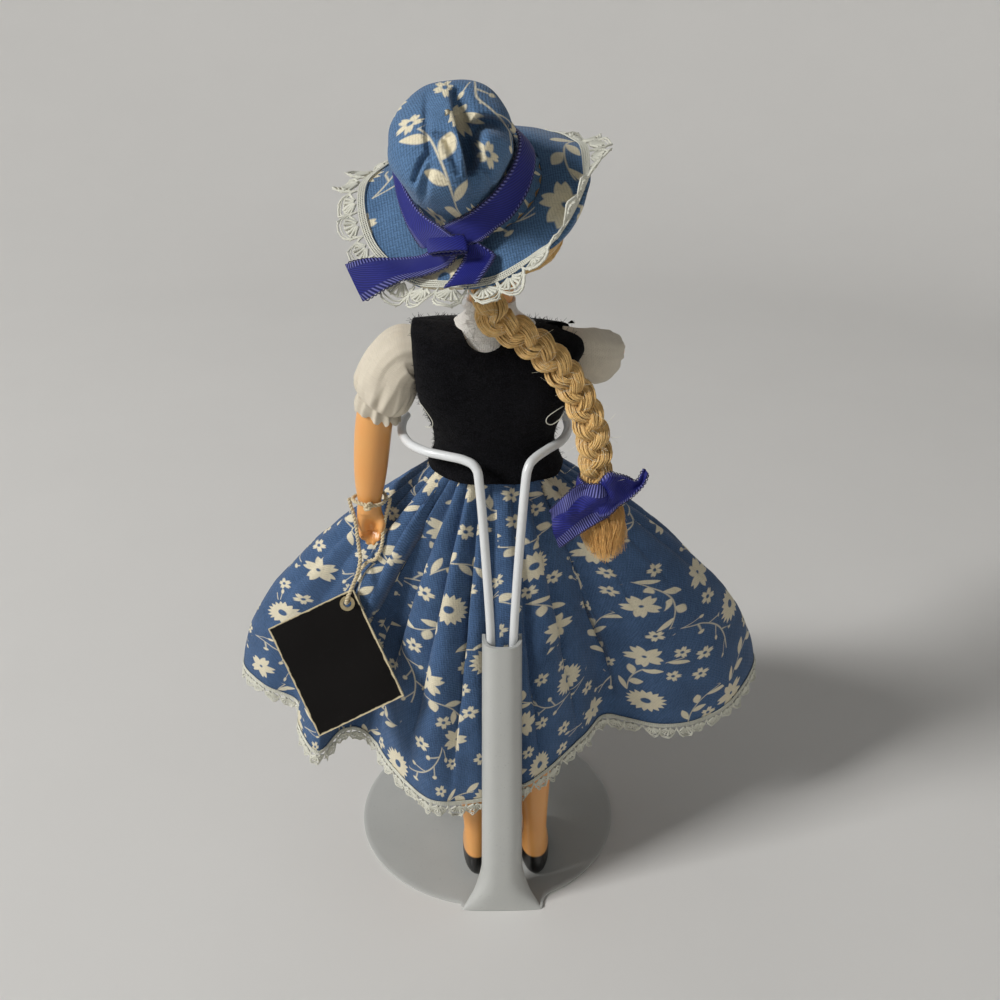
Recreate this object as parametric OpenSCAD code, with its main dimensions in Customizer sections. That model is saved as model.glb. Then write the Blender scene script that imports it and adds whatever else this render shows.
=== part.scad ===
// Costume doll in a printed dress and bonnet, held at the waist by a wire display stand.
// Millimetres. +Z is up, the doll faces -Y and its left side is +X.
// The origin lies on the underside of the stand's disc, below the middle of its post.

/* [Stand] */
// Radius of the sheet-metal disc
disc_r = 35.5; // [33:0.5:45]
// Sideways distance from the post's middle to the disc's centre
disc_shift = 3.5; // [-6:0.5:6]
// Thickness of the sheet
sheet_t = 0.8; // [0.6:0.1:1.0]
// Height of the rolled post
post_h = 83; // [74:1:95]
// Width of the post above its flared root
post_root_w = 10.6; // [9.8:0.1:13]
// Width of the post at its top
post_top_w = 9.2; // [8.8:0.1:10.5]
// Depth of the rolled post from its open side to its back
post_depth = 6; // [5.5:0.1:7]
// Distance from the doll's spine to the back of the post
post_reach = 19.2; // [18.8:0.1:22]
// Width of the flared root where the post leaves the disc
post_foot_w = 21; // [16:0.5:26]
// Diameter of the sprung wire
wire_d = 2; // [1.6:0.1:2.1]
// Height of the waist clasp
clasp_z = 128; // [126.5:0.5:129.5]

/* [Doll] */
// Distance from the disc's centre line back to the doll's spine
body_y = 18; // [16:0.5:20]
// Height of the shoulder pivots
shoulder_z = 147; // [146:0.5:148]
// Sideways lean of the trunk for each millimetre of height
lean = 0.022; // [0:0.002:0.03]
// Sideways place of the feet's middle
foot_shift = -1.4; // [-3:0.2:1]
// Half the distance between the feet
foot_half = 7.8; // [7.4:0.1:9]
// Gap under the soles
sole_gap = 0.2; // [0.1:0.05:0.4]
// Radius of the bore that the arm elastic runs through
elastic_bore_r = 3.8; // [3.7:0.1:4.4]
// Radius of an arm peg
peg_r = 0.8; // [0.6:0.1:0.9]
// Forward lift of the right arm from hanging
right_arm_lift = 70; // [60:1:100]
// Radius of the wig
hair_r = 16; // [15.5:0.1:16.6]
// Wall of the wig
hair_wall = 1.5; // [0.9:0.1:1.7]
// Width of the braid
braid_w = 6; // [5:0.2:6.6]

/* [Costume] */
// Height of the skirt's gathered seam
waist_z = 121; // [120:0.5:122]
// Thickness of the skirt's cloth with its lining
skirt_t = 0.9; // [0.7:0.1:1.2]
// Depth of the lace at the skirt's hem
hem_lace_w = 4; // [2:0.5:7]
// Thickness of the blouse
blouse_t = 0.6; // [0.4:0.1:0.8]
// Thickness of the felt bodice
felt_t = 1.2; // [0.8:0.1:1.4]
// Height of the bodice's lower edge
bodice_bottom_z = 120; // [119.5:0.5:122]
// Radius of the bodice's neckline
neckline_r = 6.5; // [5:0.5:8]
// Radius of the armholes
armhole_r = 6.2; // [5.8:0.1:6.8]
// Width of the costume's ribbon
ribbon_w = 7; // [5:0.5:8]
// Thickness of the ribbon
ribbon_t = 0.6; // [0.4:0.1:0.8]

/* [Bonnet] */
// Backward tilt of the bonnet
hat_tilt = 40; // [34:1:46]
// Sideways roll of the bonnet
hat_roll = 14; // [6:1:20]
// Inner radius of the brim
brim_inner_r = 12.4; // [12:0.1:12.8]
// Outer radius of the printed brim
brim_outer_r = 24; // [21:0.5:27]
// Depth of the lace round the brim
brim_lace_w = 5.5; // [3:0.5:7]
// Thickness of the brim
brim_t = 1; // [0.7:0.1:1.2]
// Height of the puffed crown
crown_h = 18.5; // [16:0.5:22]
// Widest radius of the crown
crown_r = 14; // [13.8:0.1:14.8]

/* [Tag] */
// Width of the folded tag
tag_w = 22; // [18:0.5:26]
// Height of the folded tag
tag_h = 28; // [24:0.5:32]
// Thickness of one cover leaf
cover_t = 0.35; // [0.25:0.05:0.5]
// Thickness of the inner leaves together
pages_t = 0.8; // [0.5:0.1:1.2]
// Diameter of the eyelet's hole
eyelet_hole_d = 1.9; // [1.7:0.1:2.2]
// Diameter of the tag's cord
cord_d = 0.8; // [0.6:0.1:0.9]

/* [Hidden] */
$fn = 64;

// Running gap between pieces that move, and lay of one soft layer on the next
run_gap = 0.4;
layer_gap = 0.2;
sides = 28;

steel = "#a5a8aa";
plastic = "#d99a58";
black_felt = "#101014";
cream = "#d8cdb5";
print_blue = "#2f5580";
print_pale = "#4f79a8";
ribbon_blue = "#3b36a0";
lace_white = "#e4e2d2";
hair_gold = "#cfa45c";
cord_beige = "#d9c7a0";

// Vectors, blends and curves
function unit(v) = v / norm(v);
function mix(a, b, s) = a + (b - a) * s;
function joined(rows) = [for (row = rows) for (p = row) p];
function spline(a, b, c, d, s) =
    (2 * b + (c - a) * s + (2 * a - 5 * b + 4 * c - d) * s * s
    + (3 * b - a - 3 * c + d) * s * s * s) / 2;
function smooth_path(pts, steps) = let (last = len(pts) - 1) concat(
    [for (i = [0:last - 1]) for (k = [0:steps - 1])
        spline(pts[max(i - 1, 0)], pts[i], pts[i + 1], pts[min(i + 2, last)], k / steps)],
    [pts[last]]);
function smooth_loop(pts, steps) = let (n = len(pts))
    [for (i = [0:n - 1]) for (k = [0:steps - 1])
        spline(pts[(i + n - 1) % n], pts[i], pts[(i + 1) % n], pts[(i + 2) % n], k / steps)];
function table_at(table, x, i = 0) =
    i >= len(table) - 2 || x <= table[i + 1][0]
    ? mix(table[i], table[i + 1], (x - table[i][0]) / (table[i + 1][0] - table[i][0]))
    : table_at(table, x, i + 1);

// Closed ring at height z, counter-clockwise from above; power 2 is an ellipse
function bend(c, power) = sign(c) * pow(abs(c), 2 / power);
function ring(x, y, z, rx, ry, n = sides, power = 2) =
    [for (i = [0:n - 1]) let (a = 360 * i / n)
        [x + rx * bend(cos(a), power), y + ry * bend(sin(a), power), z]];

// Side faces between rows of points, and a solid with flat ends
function side_faces(n, m, start = 0) = [
    for (k = [0:m - 2]) for (i = [0:n - 1])
        let (j = (i + 1) % n, a = start + k * n, b = a + n)
        each [[a + i, b + i, b + j], [a + i, b + j, a + j]]];
module loft(rows) {
    n = len(rows[0]);
    m = len(rows);
    low_end = [for (i = [0:n - 1]) i];
    high_end = [for (i = [n - 1:-1:0]) (m - 1) * n + i];
    polyhedron(joined(rows), concat(side_faces(n, m), [low_end], [high_end]), convexity = 8);
}

// Outward normal at one point of a closed grid of rows
function grid_normal(rows, k, i) = let (n = len(rows[0]), m = len(rows),
    along = rows[k][(i + 1) % n] - rows[k][(i + n - 1) % n],
    across = rows[min(k + 1, m - 1)][i] - rows[max(k - 1, 0)][i])
    unit(cross(along, across));
function inset_rows(rows, t) = [for (k = [0:len(rows) - 1])
    [for (i = [0:len(rows[0]) - 1]) rows[k][i] - t * grid_normal(rows, k, i)]];

// Sheet of cloth: outer rows, inner rows and the two rims between them
module sheet_between(outer, inner) {
    n = len(outer[0]);
    m = len(outer);
    half = n * m;
    turned = [for (f = side_faces(n, m, half)) [f[0], f[2], f[1]]];
    rims = [for (i = [0:n - 1]) let (j = (i + 1) % n, e = half - n)
        each [[i, j, half + j], [i, half + j, half + i],
              [e + j, e + i, half + e + i], [e + j, half + e + i, half + e + j]]];
    polyhedron(concat(joined(outer), joined(inner)), concat(side_faces(n, m), turned, rims),
        convexity = 10);
}
module cloth(rows, t) sheet_between(rows, inset_rows(rows, t));

// Rings carried along a path without twist
function tangent(path, i) = unit(path[min(i + 1, len(path) - 1)] - path[max(i - 1, 0)]);
function carried(path, i, side) = let (t = tangent(path, i), u = unit(side - (side * t) * t))
    i == len(path) - 1 ? [u] : concat([u], carried(path, i + 1, u));
function path_rows(path, radii, n, start_side) = let (u = carried(path, 0, start_side))
    [for (i = [0:len(path) - 1]) let (v = cross(tangent(path, i), u[i]))
        [for (k = [0:n - 1]) let (a = 360 * k / n)
            path[i] + radii[i][0] * cos(a) * u[i] + radii[i][1] * sin(a) * v]];
module cord_tube(path, d, n, start_side) {
    loft(path_rows(path, [for (p = path) [d / 2, d / 2]], n, start_side));
}

// Flat ribbon between two edge lines
module ribbon(left, right, t = ribbon_t) {
    loft([for (i = [0:len(left) - 1])
        let (s = right[i] - left[i], n = unit(cross(tangent(left, i), s)) * t / 2)
        [left[i] - n, right[i] - n, right[i] + n, left[i] + n]]);
}

// Trunk and head: height, half width, half depth, forward shift of the section's middle
body_table = [
    [84, 8, 6.6, 0.8], [90, 13.2, 8.6, 1], [98, 14, 8.8, 1], [108, 12.8, 8.4, 0.6], [117, 10.9, 8, 0],
    [126, 11, 8, 0], [133, 12, 8.7, 0.6], [140, 13.4, 9.6, 1], [147, 15.2, 8.8, 0.6],
    [151, 13.6, 7, 0], [153.6, 8.4, 5.6, 0], [156, 5, 4.8, 0], [160, 4.7, 4.8, 0.4],
    [162, 6, 7, 3], [165, 9.2, 9.6, 2.4], [169.5, 11.8, 12.4, 1.2], [175.5, 13.4, 13.6, 1],
    [181, 12.6, 12.8, 1], [185.5, 9.8, 10, 1], [188.4, 6, 6.4, 1], [189.6, 2, 2.2, 1]
];
function lean_x(z) = foot_shift + lean * z;
neck_z = 156;
function body_ring(z, grow = 0) = let (b = table_at(body_table, z))
    ring(lean_x(z), body_y - b[3], z, b[1] + grow, b[2] + grow, sides, z < neck_z ? 2.2 : 2);

head_z = 175.5;
head_c = [lean_x(head_z), body_y - 1, head_z];
sole_z = sheet_t + sole_gap;

// One leg with its moulded shoe: height, half width, half depth, backward shift, share of foot spread
leg_table = [
    [0, 3.6, 9.6, -2, 1], [1.5, 4.3, 10.4, -2, 1], [4, 4.3, 10.2, -1.8, 1], [6.5, 4, 8, 0, 1],
    [9, 3.6, 5.6, 2.2, 1], [12, 3.2, 3.8, 3.8, 1], [16, 3.2, 3.4, 4, 1], [26, 4, 4.4, 3.6, 0.98],
    [37, 4.9, 5.2, 2.6, 0.95], [50, 4.6, 4.9, 1, 0.92], [66, 5.8, 6.2, 0.4, 0.9],
    [80, 6.6, 7.6, 0, 0.86], [89, 6.2, 7.4, 0, 0.8]
];
module leg(side) {
    loft([for (row = leg_table) let (z = sole_z + row[0])
        ring(lean_x(z) + side * foot_half * row[4], body_y + row[3], z, row[1], row[2], 18, 2.2)]);
}

// Arm in its own frame: the pivot at the origin, hanging down -Z, with +X outboard
arm_face = 15.6;
arm_path = [
    [0, 0, 0], [1.6, 0, 0], [3.6, 0, -0.8], [6, 0, -3.2], [8, 0, -7.4], [9.4, 0, -12.4],
    [10.4, 0.1, -18], [11.2, 0.4, -25], [11.8, 0.6, -31], [12.1, 0.7, -35], [12.3, 0.7, -38.4],
    [12.4, 0.6, -42], [12.4, 0.4, -46], [12.3, 0.2, -48.6]
];
arm_radii = [
    [4.4, 4.4], [4.5, 4.5], [4.5, 4.5], [4.4, 4.3], [4.1, 4.1], [3.9, 3.9], [3.7, 3.8], [3.4, 3.5],
    [2.9, 3.0], [2.6, 2.7], [2.7, 3.3], [2.3, 3.7], [1.9, 3.0], [0.8, 1.4]
];
left_pivot = [lean_x(shoulder_z) + arm_face + run_gap, body_y, shoulder_z];
right_pivot = [lean_x(shoulder_z) - arm_face - run_gap, body_y, shoulder_z];
module at_left_shoulder() translate(left_pivot) children();
module at_right_shoulder()
    translate(right_pivot) rotate([-right_arm_lift, 0, 0]) mirror([1, 0, 0]) children();
module arm_solid() loft(path_rows(arm_path, arm_radii, 16, [0, 0, 1]));

// Peg on the arm's inner face, and the elastic that pulls both pegs into the trunk
peg_l = 7;
button_r = 2.2;
button_t = 1;
module arm_peg_solid() {
    translate([-peg_l, 0, 0]) rotate([0, 90, 0]) cylinder(r = peg_r, h = peg_l);
    translate([-peg_l - button_t, 0, 0]) rotate([0, 90, 0]) cylinder(r = button_r, h = button_t);
}

// Puffed sleeve and cuff frill, both carried along the arm's own path
puff_path = [
    [1.4, 0, 0], [3.2, 0, -0.2], [5.4, 0, -2.2], [6.9, 0, -5.8], [8.5, 0, -9.8], [9.2, 0, -12.3]
];
puff_swell = [0.6, 1.7, 2.2, 2.2, 1.6, 0.5];
puff_t = 0.4;
function puff_radii(lay) = [for (i = [0:len(puff_path) - 1])
    let (r = 4.7 - 0.1 * i + puff_swell[i] - lay) [r, r]];
module puff_solid() {
    outer = path_rows(puff_path, puff_radii(0), 20, [0, 0, 1]);
    inner = path_rows(puff_path, puff_radii(puff_t), 20, [0, 0, 1]);
    sheet_between(outer, inner);
}
frill_path = [[9.4, 0, -13.4], [9.6, 0, -14.8], [9.9, 0.1, -16.4]];
frill_reach = [0.7, 1.5, 2.3];
frill_folds = 9;
frill_n = 4 * frill_folds;
function frill_rows(lay) = let (u = carried(frill_path, 0, [0, 0, 1])) [for (i = [0:2])
    let (v = cross(tangent(frill_path, i), u[i])) [for (k = [0:frill_n - 1])
        let (a = 360 * k / frill_n, fold = 1 + 0.22 * cos(frill_folds * a),
            r = 4.1 - 0.1 * i - lay + frill_reach[i] * fold)
        frill_path[i] + r * cos(a) * u[i] + r * sin(a) * v]];
module frill_solid() sheet_between(frill_rows(0), frill_rows(puff_t));

// Post of the stand: height, share of root width, depth of the roll
post_back_y = body_y + post_reach;
post_front_y = post_back_y - post_depth;
foot_rise = [
    [0.1, 1, 0.16], [0.9, 0.84, 0.24], [2.2, 0.66, 0.38], [4.2, 0.4, 0.56], [7, 0.17, 0.8], [11, 0, 1]
];
post_steps = [for (s = [0.3, 0.55, 0.8, 1]) mix(foot_rise[5][0], post_h, s)];
function roll_arc(z, w, depth, back_lay, n = 12) = [for (i = [0:n]) let (a = 180 * i / n)
    [w / 2 * bend(cos(a), 3), post_back_y - back_lay - depth + depth * bend(sin(a), 3), z]];
function post_ring(z, w, depth) = let (
    outer = roll_arc(z, w, depth, 0),
    inner = roll_arc(z, w - 2 * sheet_t, depth - sheet_t, sheet_t))
    concat(outer, [for (i = [len(inner) - 1:-1:0]) inner[i]]);
function post_rows() = concat(
    [for (f = foot_rise) post_ring(f[0], mix(post_root_w, post_foot_w, f[1]),
        max(post_depth * f[2], sheet_t * 1.25))],
    [for (z = post_steps) post_ring(z, mix(post_root_w, post_top_w, z / post_h), post_depth)]);
module post() {
    rows = post_rows();
    n = len(rows[0]);
    m = len(rows);
    half = n / 2;
    low_end = [for (i = [0:half - 2]) each [[i, i + 1, n - 2 - i], [i, n - 2 - i, n - 1 - i]]];
    high_end = [for (f = low_end) [for (i = [2, 1, 0]) f[i] + (m - 1) * n]];
    polyhedron(joined(rows), concat(side_faces(n, m), low_end, high_end), convexity = 8);
}

// Sprung wire from its right tip down into the post and up to its left tip
wire_y = post_front_y + 2.3;
leg_x = post_top_w / 2 - sheet_t - wire_d / 2 - 0.2;
clasp_low = clasp_z - 1.6;
right_arm_route = [
    [-14.6, 7, clasp_z], [-15, 12, clasp_z], [-14.9, 17, clasp_z], [-13.2, 22.6, clasp_z],
    [-9.8, 27.2, clasp_z], [-7, 30.6, clasp_z - 0.4], [-5.5, 32.6, clasp_low]
];
leg_route = [[-4.8, wire_y, clasp_z - 6], [-3.6, wire_y, clasp_z - 24], [-leg_x, wire_y, post_h],
    [-leg_x, wire_y, post_h - 18], [-leg_x, wire_y, post_h - 33], [-1.6, wire_y, post_h - 35.6]];
left_arm_route = [
    [5.6, 32.8, clasp_low], [8, 31.6, clasp_z - 0.3], [12, 30, clasp_z], [15.8, 27.6, clasp_z],
    [19, 23.4, clasp_z], [20.8, 18, clasp_z], [21, 12, clasp_z], [20.4, 8, clasp_z]
];
left_leg_route = [for (i = [len(leg_route) - 1:-1:0]) let (p = leg_route[i]) [-p[0], p[1], p[2]]];
wire_route = concat(right_arm_route, leg_route, left_leg_route, left_arm_route);

// Skirt hem: one point at each crest, slope and hollow of the folds, from the back round by the left
hem = [
    [0, 29.4, 33], [8, 30.4, 31.5], [18, 31.5, 33], [27, 23, 36], [35, 11.5, 38], [41, 13, 40],
    [47, 19, 38], [52, 12, 41], [54, 3, 42], [63, 0, 45], [70, -9, 46], [67, -20, 45],
    [58, -26, 44], [56, -36, 43], [45, -41, 43], [36, -36, 43], [29, -46, 42], [18, -48, 42],
    [10, -41, 43], [2, -49, 42], [-8, -47, 42], [-15, -41, 43], [-25, -48, 42], [-37, -44, 43],
    [-43, -36, 44], [-55, -37, 44], [-63, -26, 46], [-61, -17, 47], [-69, -6, 49], [-61, 8, 45],
    [-51, 14, 43], [-40, 17, 44], [-27, 14, 45], [-20, 22, 44], [-13, 27.5, 41], [-7, 29.5, 37]
];
hem_line = smooth_loop(hem, 2);
skirt_levels = [0, 0.05, 0.14, 0.28, 0.46, 0.66, 0.84, 1];
skirt_fall = 1.6;
skirt_lay = 2 * layer_gap + blouse_t + skirt_t + 0.1;
skirt_top_rx = table_at(body_table, waist_z)[1] + skirt_lay;
skirt_top_ry = table_at(body_table, waist_z)[2] + skirt_lay;
function waist_point(i) = let (a = 360 * i / len(hem_line))
    [lean_x(waist_z) + skirt_top_rx * bend(sin(a), 2.2),
     body_y + skirt_top_ry * bend(cos(a), 2.2), waist_z];
function skirt_point(i, s) =
    let (top = waist_point(i), end = hem_line[i], out = 1 - pow(1 - s, skirt_fall))
    [mix(top[0], end[0], out), mix(top[1], end[1], out), mix(top[2], end[2], s)];
skirt_rows = [for (s = skirt_levels) [for (i = [0:len(hem_line) - 1]) skirt_point(i, s)]];
function hem_drop(i) = let (last = len(skirt_rows) - 1)
    unit(skirt_rows[last][i] - skirt_rows[last - 1][i]);
function lace_row(drop) = [for (i = [0:len(hem_line) - 1]) hem_line[i] + drop * hem_drop(i)];

// Bonnet frame: the brim's inner edge rests on the wig
hat_axis = [sin(hat_roll) * cos(hat_tilt), sin(hat_tilt), cos(hat_roll) * cos(hat_tilt)];
hat_rest_r = brim_inner_r - brim_t / 2;
hat_seat = sqrt(hair_r * hair_r - hat_rest_r * hat_rest_r) + brim_t + layer_gap;
module at_hat() translate(head_c + hat_seat * hat_axis)
    rotate([0, hat_roll, 0]) rotate([-hat_tilt, 0, 0]) children();
// Brim edge at even turns from the left by the back: share of the outer radius, fall below the seam
brim_table = [
    [1, 0.4], [1.02, 1], [1.01, 1.2], [0.99, 0.4], [0.95, -0.3], [0.89, -1], [0.86, -1.2], [0.87, 0.2],
    [0.93, 4.5], [0.99, 11.5], [1, 16], [1, 17.5], [1, 16], [1, 10], [1, 3]
];
brim_line = smooth_loop(brim_table, 3);
brim_n = len(brim_line);
brim_curve = 1.4;
function brim_fall(s) = s < 1 ? pow(max(s, 0), brim_curve) : s;
function brim_edge(a) = let (t = ((a % 360) + 360) % 360 * brim_n / 360, i = floor(t))
    mix(brim_line[i % brim_n], brim_line[(i + 1) % brim_n], t - i);
function brim_row(s, lay = 0) = [for (i = [0:brim_n - 1])
    let (a = -360 * i / brim_n, e = brim_edge(a), r = mix(brim_inner_r, brim_outer_r * e[0], s) + lay)
    [r * cos(a), r * sin(a), -e[1] * brim_fall(s + lay / (brim_outer_r - brim_inner_r))]];
crown_table = [
    [0.3, 0.91], [3, 0.95], [6.5, 0.99], [10.5, 1], [14, 0.9], [17, 0.68], [19, 0.4], [20, 0.14]
];
crown_n = 36;
crown_t = 0.9;
crown_lean = 1.8;
function crown_fold(a, s) = 1 + s * (0.05 * cos(4 * a + 30) + 0.035 * cos(7 * a));
function crown_rows(lay) = [for (c = crown_table) [for (i = [0:crown_n - 1])
    let (a = 360 * i / crown_n, s = c[0] / 20, r = max(crown_r * c[1] * crown_fold(a, s) - lay, 0.6))
    [r * cos(a) + crown_lean * s, r * sin(a), crown_h * s - (c[0] > 1 ? lay : 0)]]];
band_r = crown_r + 0.8;

// Tag frame: a plate in the XZ plane whose face looks back and up, hung from its corner
tag_c = [39, 28.5, 73.5];
tag_lean = 28;
tag_turn = 25;
tag_t = 2 * cover_t + pages_t;
eyelet_at = [-tag_w / 2 + 2.6, 0, tag_h / 2 - 2.6];
module at_tag() translate(tag_c) rotate([tag_lean, 0, 0]) rotate([0, tag_turn, 0]) children();
wrist = left_pivot + [12.1, 0.7, -35];
loop_r = 3.5;

// Cord from the wrist down one side of the hand, through the eyelet and up the other side
tag_cord_route = [
    [34.6, 18.7, 112], [34.3, 18.9, 110.2], [33.8, 19.2, 108.4], [33.3, 19.6, 105], [33, 20.2, 101],
    [32.7, 21, 97.4], [33.3, 22.4, 94.4], [34.5, 23.8, 91.8], [35.6, 24.6, 89.4], [36.2, 24.3, 87.6],
    [36.3, 23.2, 86.6], [36.2, 22, 86.1], [36.1, 20.6, 85.6], [35.8, 19.3, 86.2], [35.2, 18.9, 88.4],
    [34, 19.4, 91.4], [32.6, 20, 94.2], [31, 20.4, 96.2], [29.4, 20.8, 97], [28.3, 21, 98.8],
    [27.4, 20.6, 101.6], [27, 19.8, 105], [26.2, 19.1, 108.4], [25.6, 18.9, 110.2], [25.3, 18.7, 112]
];

module tongue() {
    flare = 7;
    root_y = post_back_y - sheet_t;
    rim_y = root_y - flare;
    edge = [for (i = [0:8]) let (a = 90 * i / 8)
        [post_foot_w / 2 + flare * (1 - sin(a)), rim_y + flare * (1 - cos(a))]];
    back = [for (i = [8:-1:0]) [-edge[i][0], edge[i][1]]];
    linear_extrude(sheet_t) polygon(concat([[0, 0]], edge, back));
}
module stand_base() color(steel) {
    translate([disc_shift, 0, 0]) rotate_extrude() {
        square([disc_r - sheet_t / 2, sheet_t]);
        translate([disc_r - sheet_t / 2, sheet_t / 2]) circle(d = sheet_t);
    }
    tongue();
    post();
}
module stand_wire() color(steel) cord_tube(smooth_path(wire_route, 2), wire_d, 8, [0, 0, 1]);
module doll_body() color(plastic) {
    difference() {
        loft([for (row = body_table) body_ring(row[0])]);
        translate([lean_x(shoulder_z), body_y, shoulder_z]) rotate([0, 90, 0])
            cylinder(r = elastic_bore_r, h = 4 * arm_face, center = true);
    }
    leg(1);
    leg(-1);
}
module left_arm() color(plastic) at_left_shoulder() arm_solid();
module right_arm() color(plastic) at_right_shoulder() arm_solid();
module left_arm_peg() color("silver") at_left_shoulder() arm_peg_solid();
module right_arm_peg() color("silver") at_right_shoulder() arm_peg_solid();
module arm_elastic() color(cream) {
    ring_x = arm_face + run_gap - peg_l + 0.3;
    ring_t = 1;
    strand_w = 0.9;
    ring_out = elastic_bore_r - run_gap;
    translate([lean_x(shoulder_z), body_y, shoulder_z]) {
        for (turn = [-90, 90]) rotate([0, turn, 0]) translate([0, 0, ring_x]) difference() {
            cylinder(r = ring_out, h = ring_t);
            translate([0, 0, -1]) cylinder(r = peg_r + 0.1, h = ring_t + 2);
        }
        for (side = [-1, 1]) translate([0, side * (ring_out - strand_w / 2 - 0.1), 0])
            cube([2 * ring_x + ring_t, strand_w, strand_w], center = true);
    }
}

// Wig: a shell over the head, open round the face and cut off at the nape
face_r = 10.5;
face_drop = 3.5;
hair_drop = 10;
module hair_cap() color(hair_gold) translate(head_c) difference() {
    sphere(r = hair_r);
    sphere(r = hair_r - hair_wall);
    translate([0, 0, -face_drop]) rotate([90, 0, 0]) cylinder(r = face_r, h = 2 * hair_r);
    translate([0, 0, -hair_r - hair_drop]) cube(2 * hair_r, center = true);
}

// Braid from the nape to the front of the right shoulder, with a bulge at each crossing
braid_route = [
    [2.4, 32.2, 166], [2, 32, 162.5], [0, 31.4, 159], [-4, 31, 156], [-9, 31.2, 152.8],
    [-13, 31.6, 148.6], [-15.6, 31.8, 143.6], [-17.6, 31.8, 138], [-19.4, 31.8, 132],
    [-20.5, 31.8, 126], [-20.6, 31.8, 121.9]
];
braid_path = smooth_path(braid_route, 3);
bulges = 9;
function braid_radius(i) =
    let (s = i / (len(braid_path) - 1), swell = 0.86 + 0.14 * abs(sin(180 * bulges * s)))
    [braid_w / 2 * swell, braid_w * 0.41 * swell];
module braid() color(hair_gold)
    loft(path_rows(braid_path, [for (i = [0:len(braid_path) - 1]) braid_radius(i)], 10, [1, 0, 0]));

tie = [-20.6, 31.8, 119.4];
module braid_tuft() color(hair_gold) {
    rows = [[-15.6, 1.2, 1], [-13, 3.6, 2.4], [-9, 4.2, 3], [-5, 3.6, 2.8], [-2.1, 2.4, 2.1]];
    loft([for (r = rows)
        ring(tie[0] - 0.03 * r[0], tie[1] + 0.04 * r[0], tie[2] + r[0], r[1], r[2], 12)]);
}
module braid_bow() color(ribbon_blue) {
    loft([for (r = [[-1.9, 2.8, 2.4], [0, 3.6, 3.1], [1.9, 2.8, 2.4]])
        ring(tie[0], tie[1], tie[2] + r[0], r[1], r[2], 14)]);
    ribbon([tie + [-2.4, 0.6, 2.4], tie + [-5.6, 1.8, 5], tie + [-9.6, 1, 7]],
        [tie + [-2.4, 0.6, -1.6], tie + [-6.2, 1.8, -1], tie + [-10.6, 0.4, 1]]);
    ribbon([tie + [2, 1.2, -2], tie + [5, 2.2, -7], tie + [8, 0.8, -11.6]],
        [tie + [2, 1.2, 2], tie + [6.6, 2.4, -2], tie + [11.4, 0.8, -5.6]]);
}

blouse_lay = layer_gap + blouse_t;
bodice_lay = blouse_lay + layer_gap + felt_t;
neckline_up = 8.5;
blouse_heights = [115, 117, 121, 126, 133, 140, 147, 151, 153.6, 155];
blouse_rows = [for (z = blouse_heights) body_ring(z)];
bodice_rise = [[0, 3], [3, 1.3], [6, 0.2], [13, 0], [20, 0], [27, 0], [31, 0], [33, 0]];
bodice_rows = [for (b = bodice_rise) body_ring(bodice_bottom_z + b[0], b[1])];
module layer(rows, under, t) sheet_between(inset_rows(rows, -under - t), inset_rows(rows, -under));
module armholes() translate([0, body_y, shoulder_z]) rotate([0, 90, 0])
    cylinder(r = armhole_r, h = 6 * arm_face, center = true);
module blouse() color("white") difference() {
    layer(blouse_rows, layer_gap, blouse_t);
    armholes();
}
module bodice() color(black_felt) difference() {
    layer(bodice_rows, blouse_lay + layer_gap, felt_t);
    armholes();
    translate([lean_x(shoulder_z), body_y, shoulder_z + neckline_up]) rotate([90, 0, 0])
        cylinder(r = neckline_r, h = 6 * arm_face, center = true);
}
module left_sleeve() color(cream) at_left_shoulder() puff_solid();
module right_sleeve() color(cream) at_right_shoulder() puff_solid();
module left_cuff() color(cream) at_left_shoulder() frill_solid();
module right_cuff() color(cream) at_right_shoulder() frill_solid();

// Bow at the front of the waist, against the felt
bow_z = clasp_z - 0.5;
bow_y = body_y - table_at(body_table, bow_z)[2] - bodice_lay - 1.8;
module front_bow() color(ribbon_blue) {
    bow = [lean_x(bow_z), bow_y, bow_z];
    translate(bow) loft([for (r = [[-2, 1.4, 1.1], [0, 1.9, 1.5], [2, 1.4, 1.1]])
        ring(0, 0, r[0], r[1], r[2], 12)]);
    for (side = [-1, 1]) {
        top = [bow + [side, 0, 1.4], bow + [side * 6, -1, 3.4], bow + [side * 12, 0.6, 3]];
        low = [bow + [side, 0, -1.4], bow + [side * 6, -1, -3], bow + [side * 12, 0.6, -3]];
        ribbon(side > 0 ? low : top, side > 0 ? top : low);
    }
}

module skirt() color(print_blue) cloth(skirt_rows, skirt_t);
module skirt_lace() color(lace_white)
    cloth([lace_row(0.1), lace_row(hem_lace_w / 2), lace_row(hem_lace_w)], skirt_t * 0.7);

// Hollow puffed crown: outer and inner walls, both closed on top
module cup(outer, inner) {
    n = len(outer[0]);
    m = len(outer);
    half = n * m;
    turned = [for (f = side_faces(n, m, half)) [f[0], f[2], f[1]]];
    rim = [for (i = [0:n - 1]) let (j = (i + 1) % n)
        each [[i, j, half + j], [i, half + j, half + i]]];
    top = [for (i = [n - 1:-1:0]) half - n + i];
    ceiling = [for (i = [0:n - 1]) 2 * half - n + i];
    polyhedron(concat(joined(outer), joined(inner)),
        concat(side_faces(n, m), turned, rim, [top], [ceiling]), convexity = 8);
}
module bonnet_crown() color(print_pale) at_hat() cup(crown_rows(0), crown_rows(crown_t));
module bonnet_brim() color(print_pale) at_hat()
    cloth([for (s = [0, 0.35, 0.7, 1]) brim_row(s)], brim_t);
module bonnet_lace() color(lace_white) at_hat()
    cloth([for (s = [0.02, 0.5, 1]) brim_row(1, s * brim_lace_w)], brim_t * 0.6);
module bonnet_band() color(ribbon_blue) at_hat() rotate_extrude()
    translate([band_r, 3 * layer_gap]) square([ribbon_t, ribbon_w * 0.8]);

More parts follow.
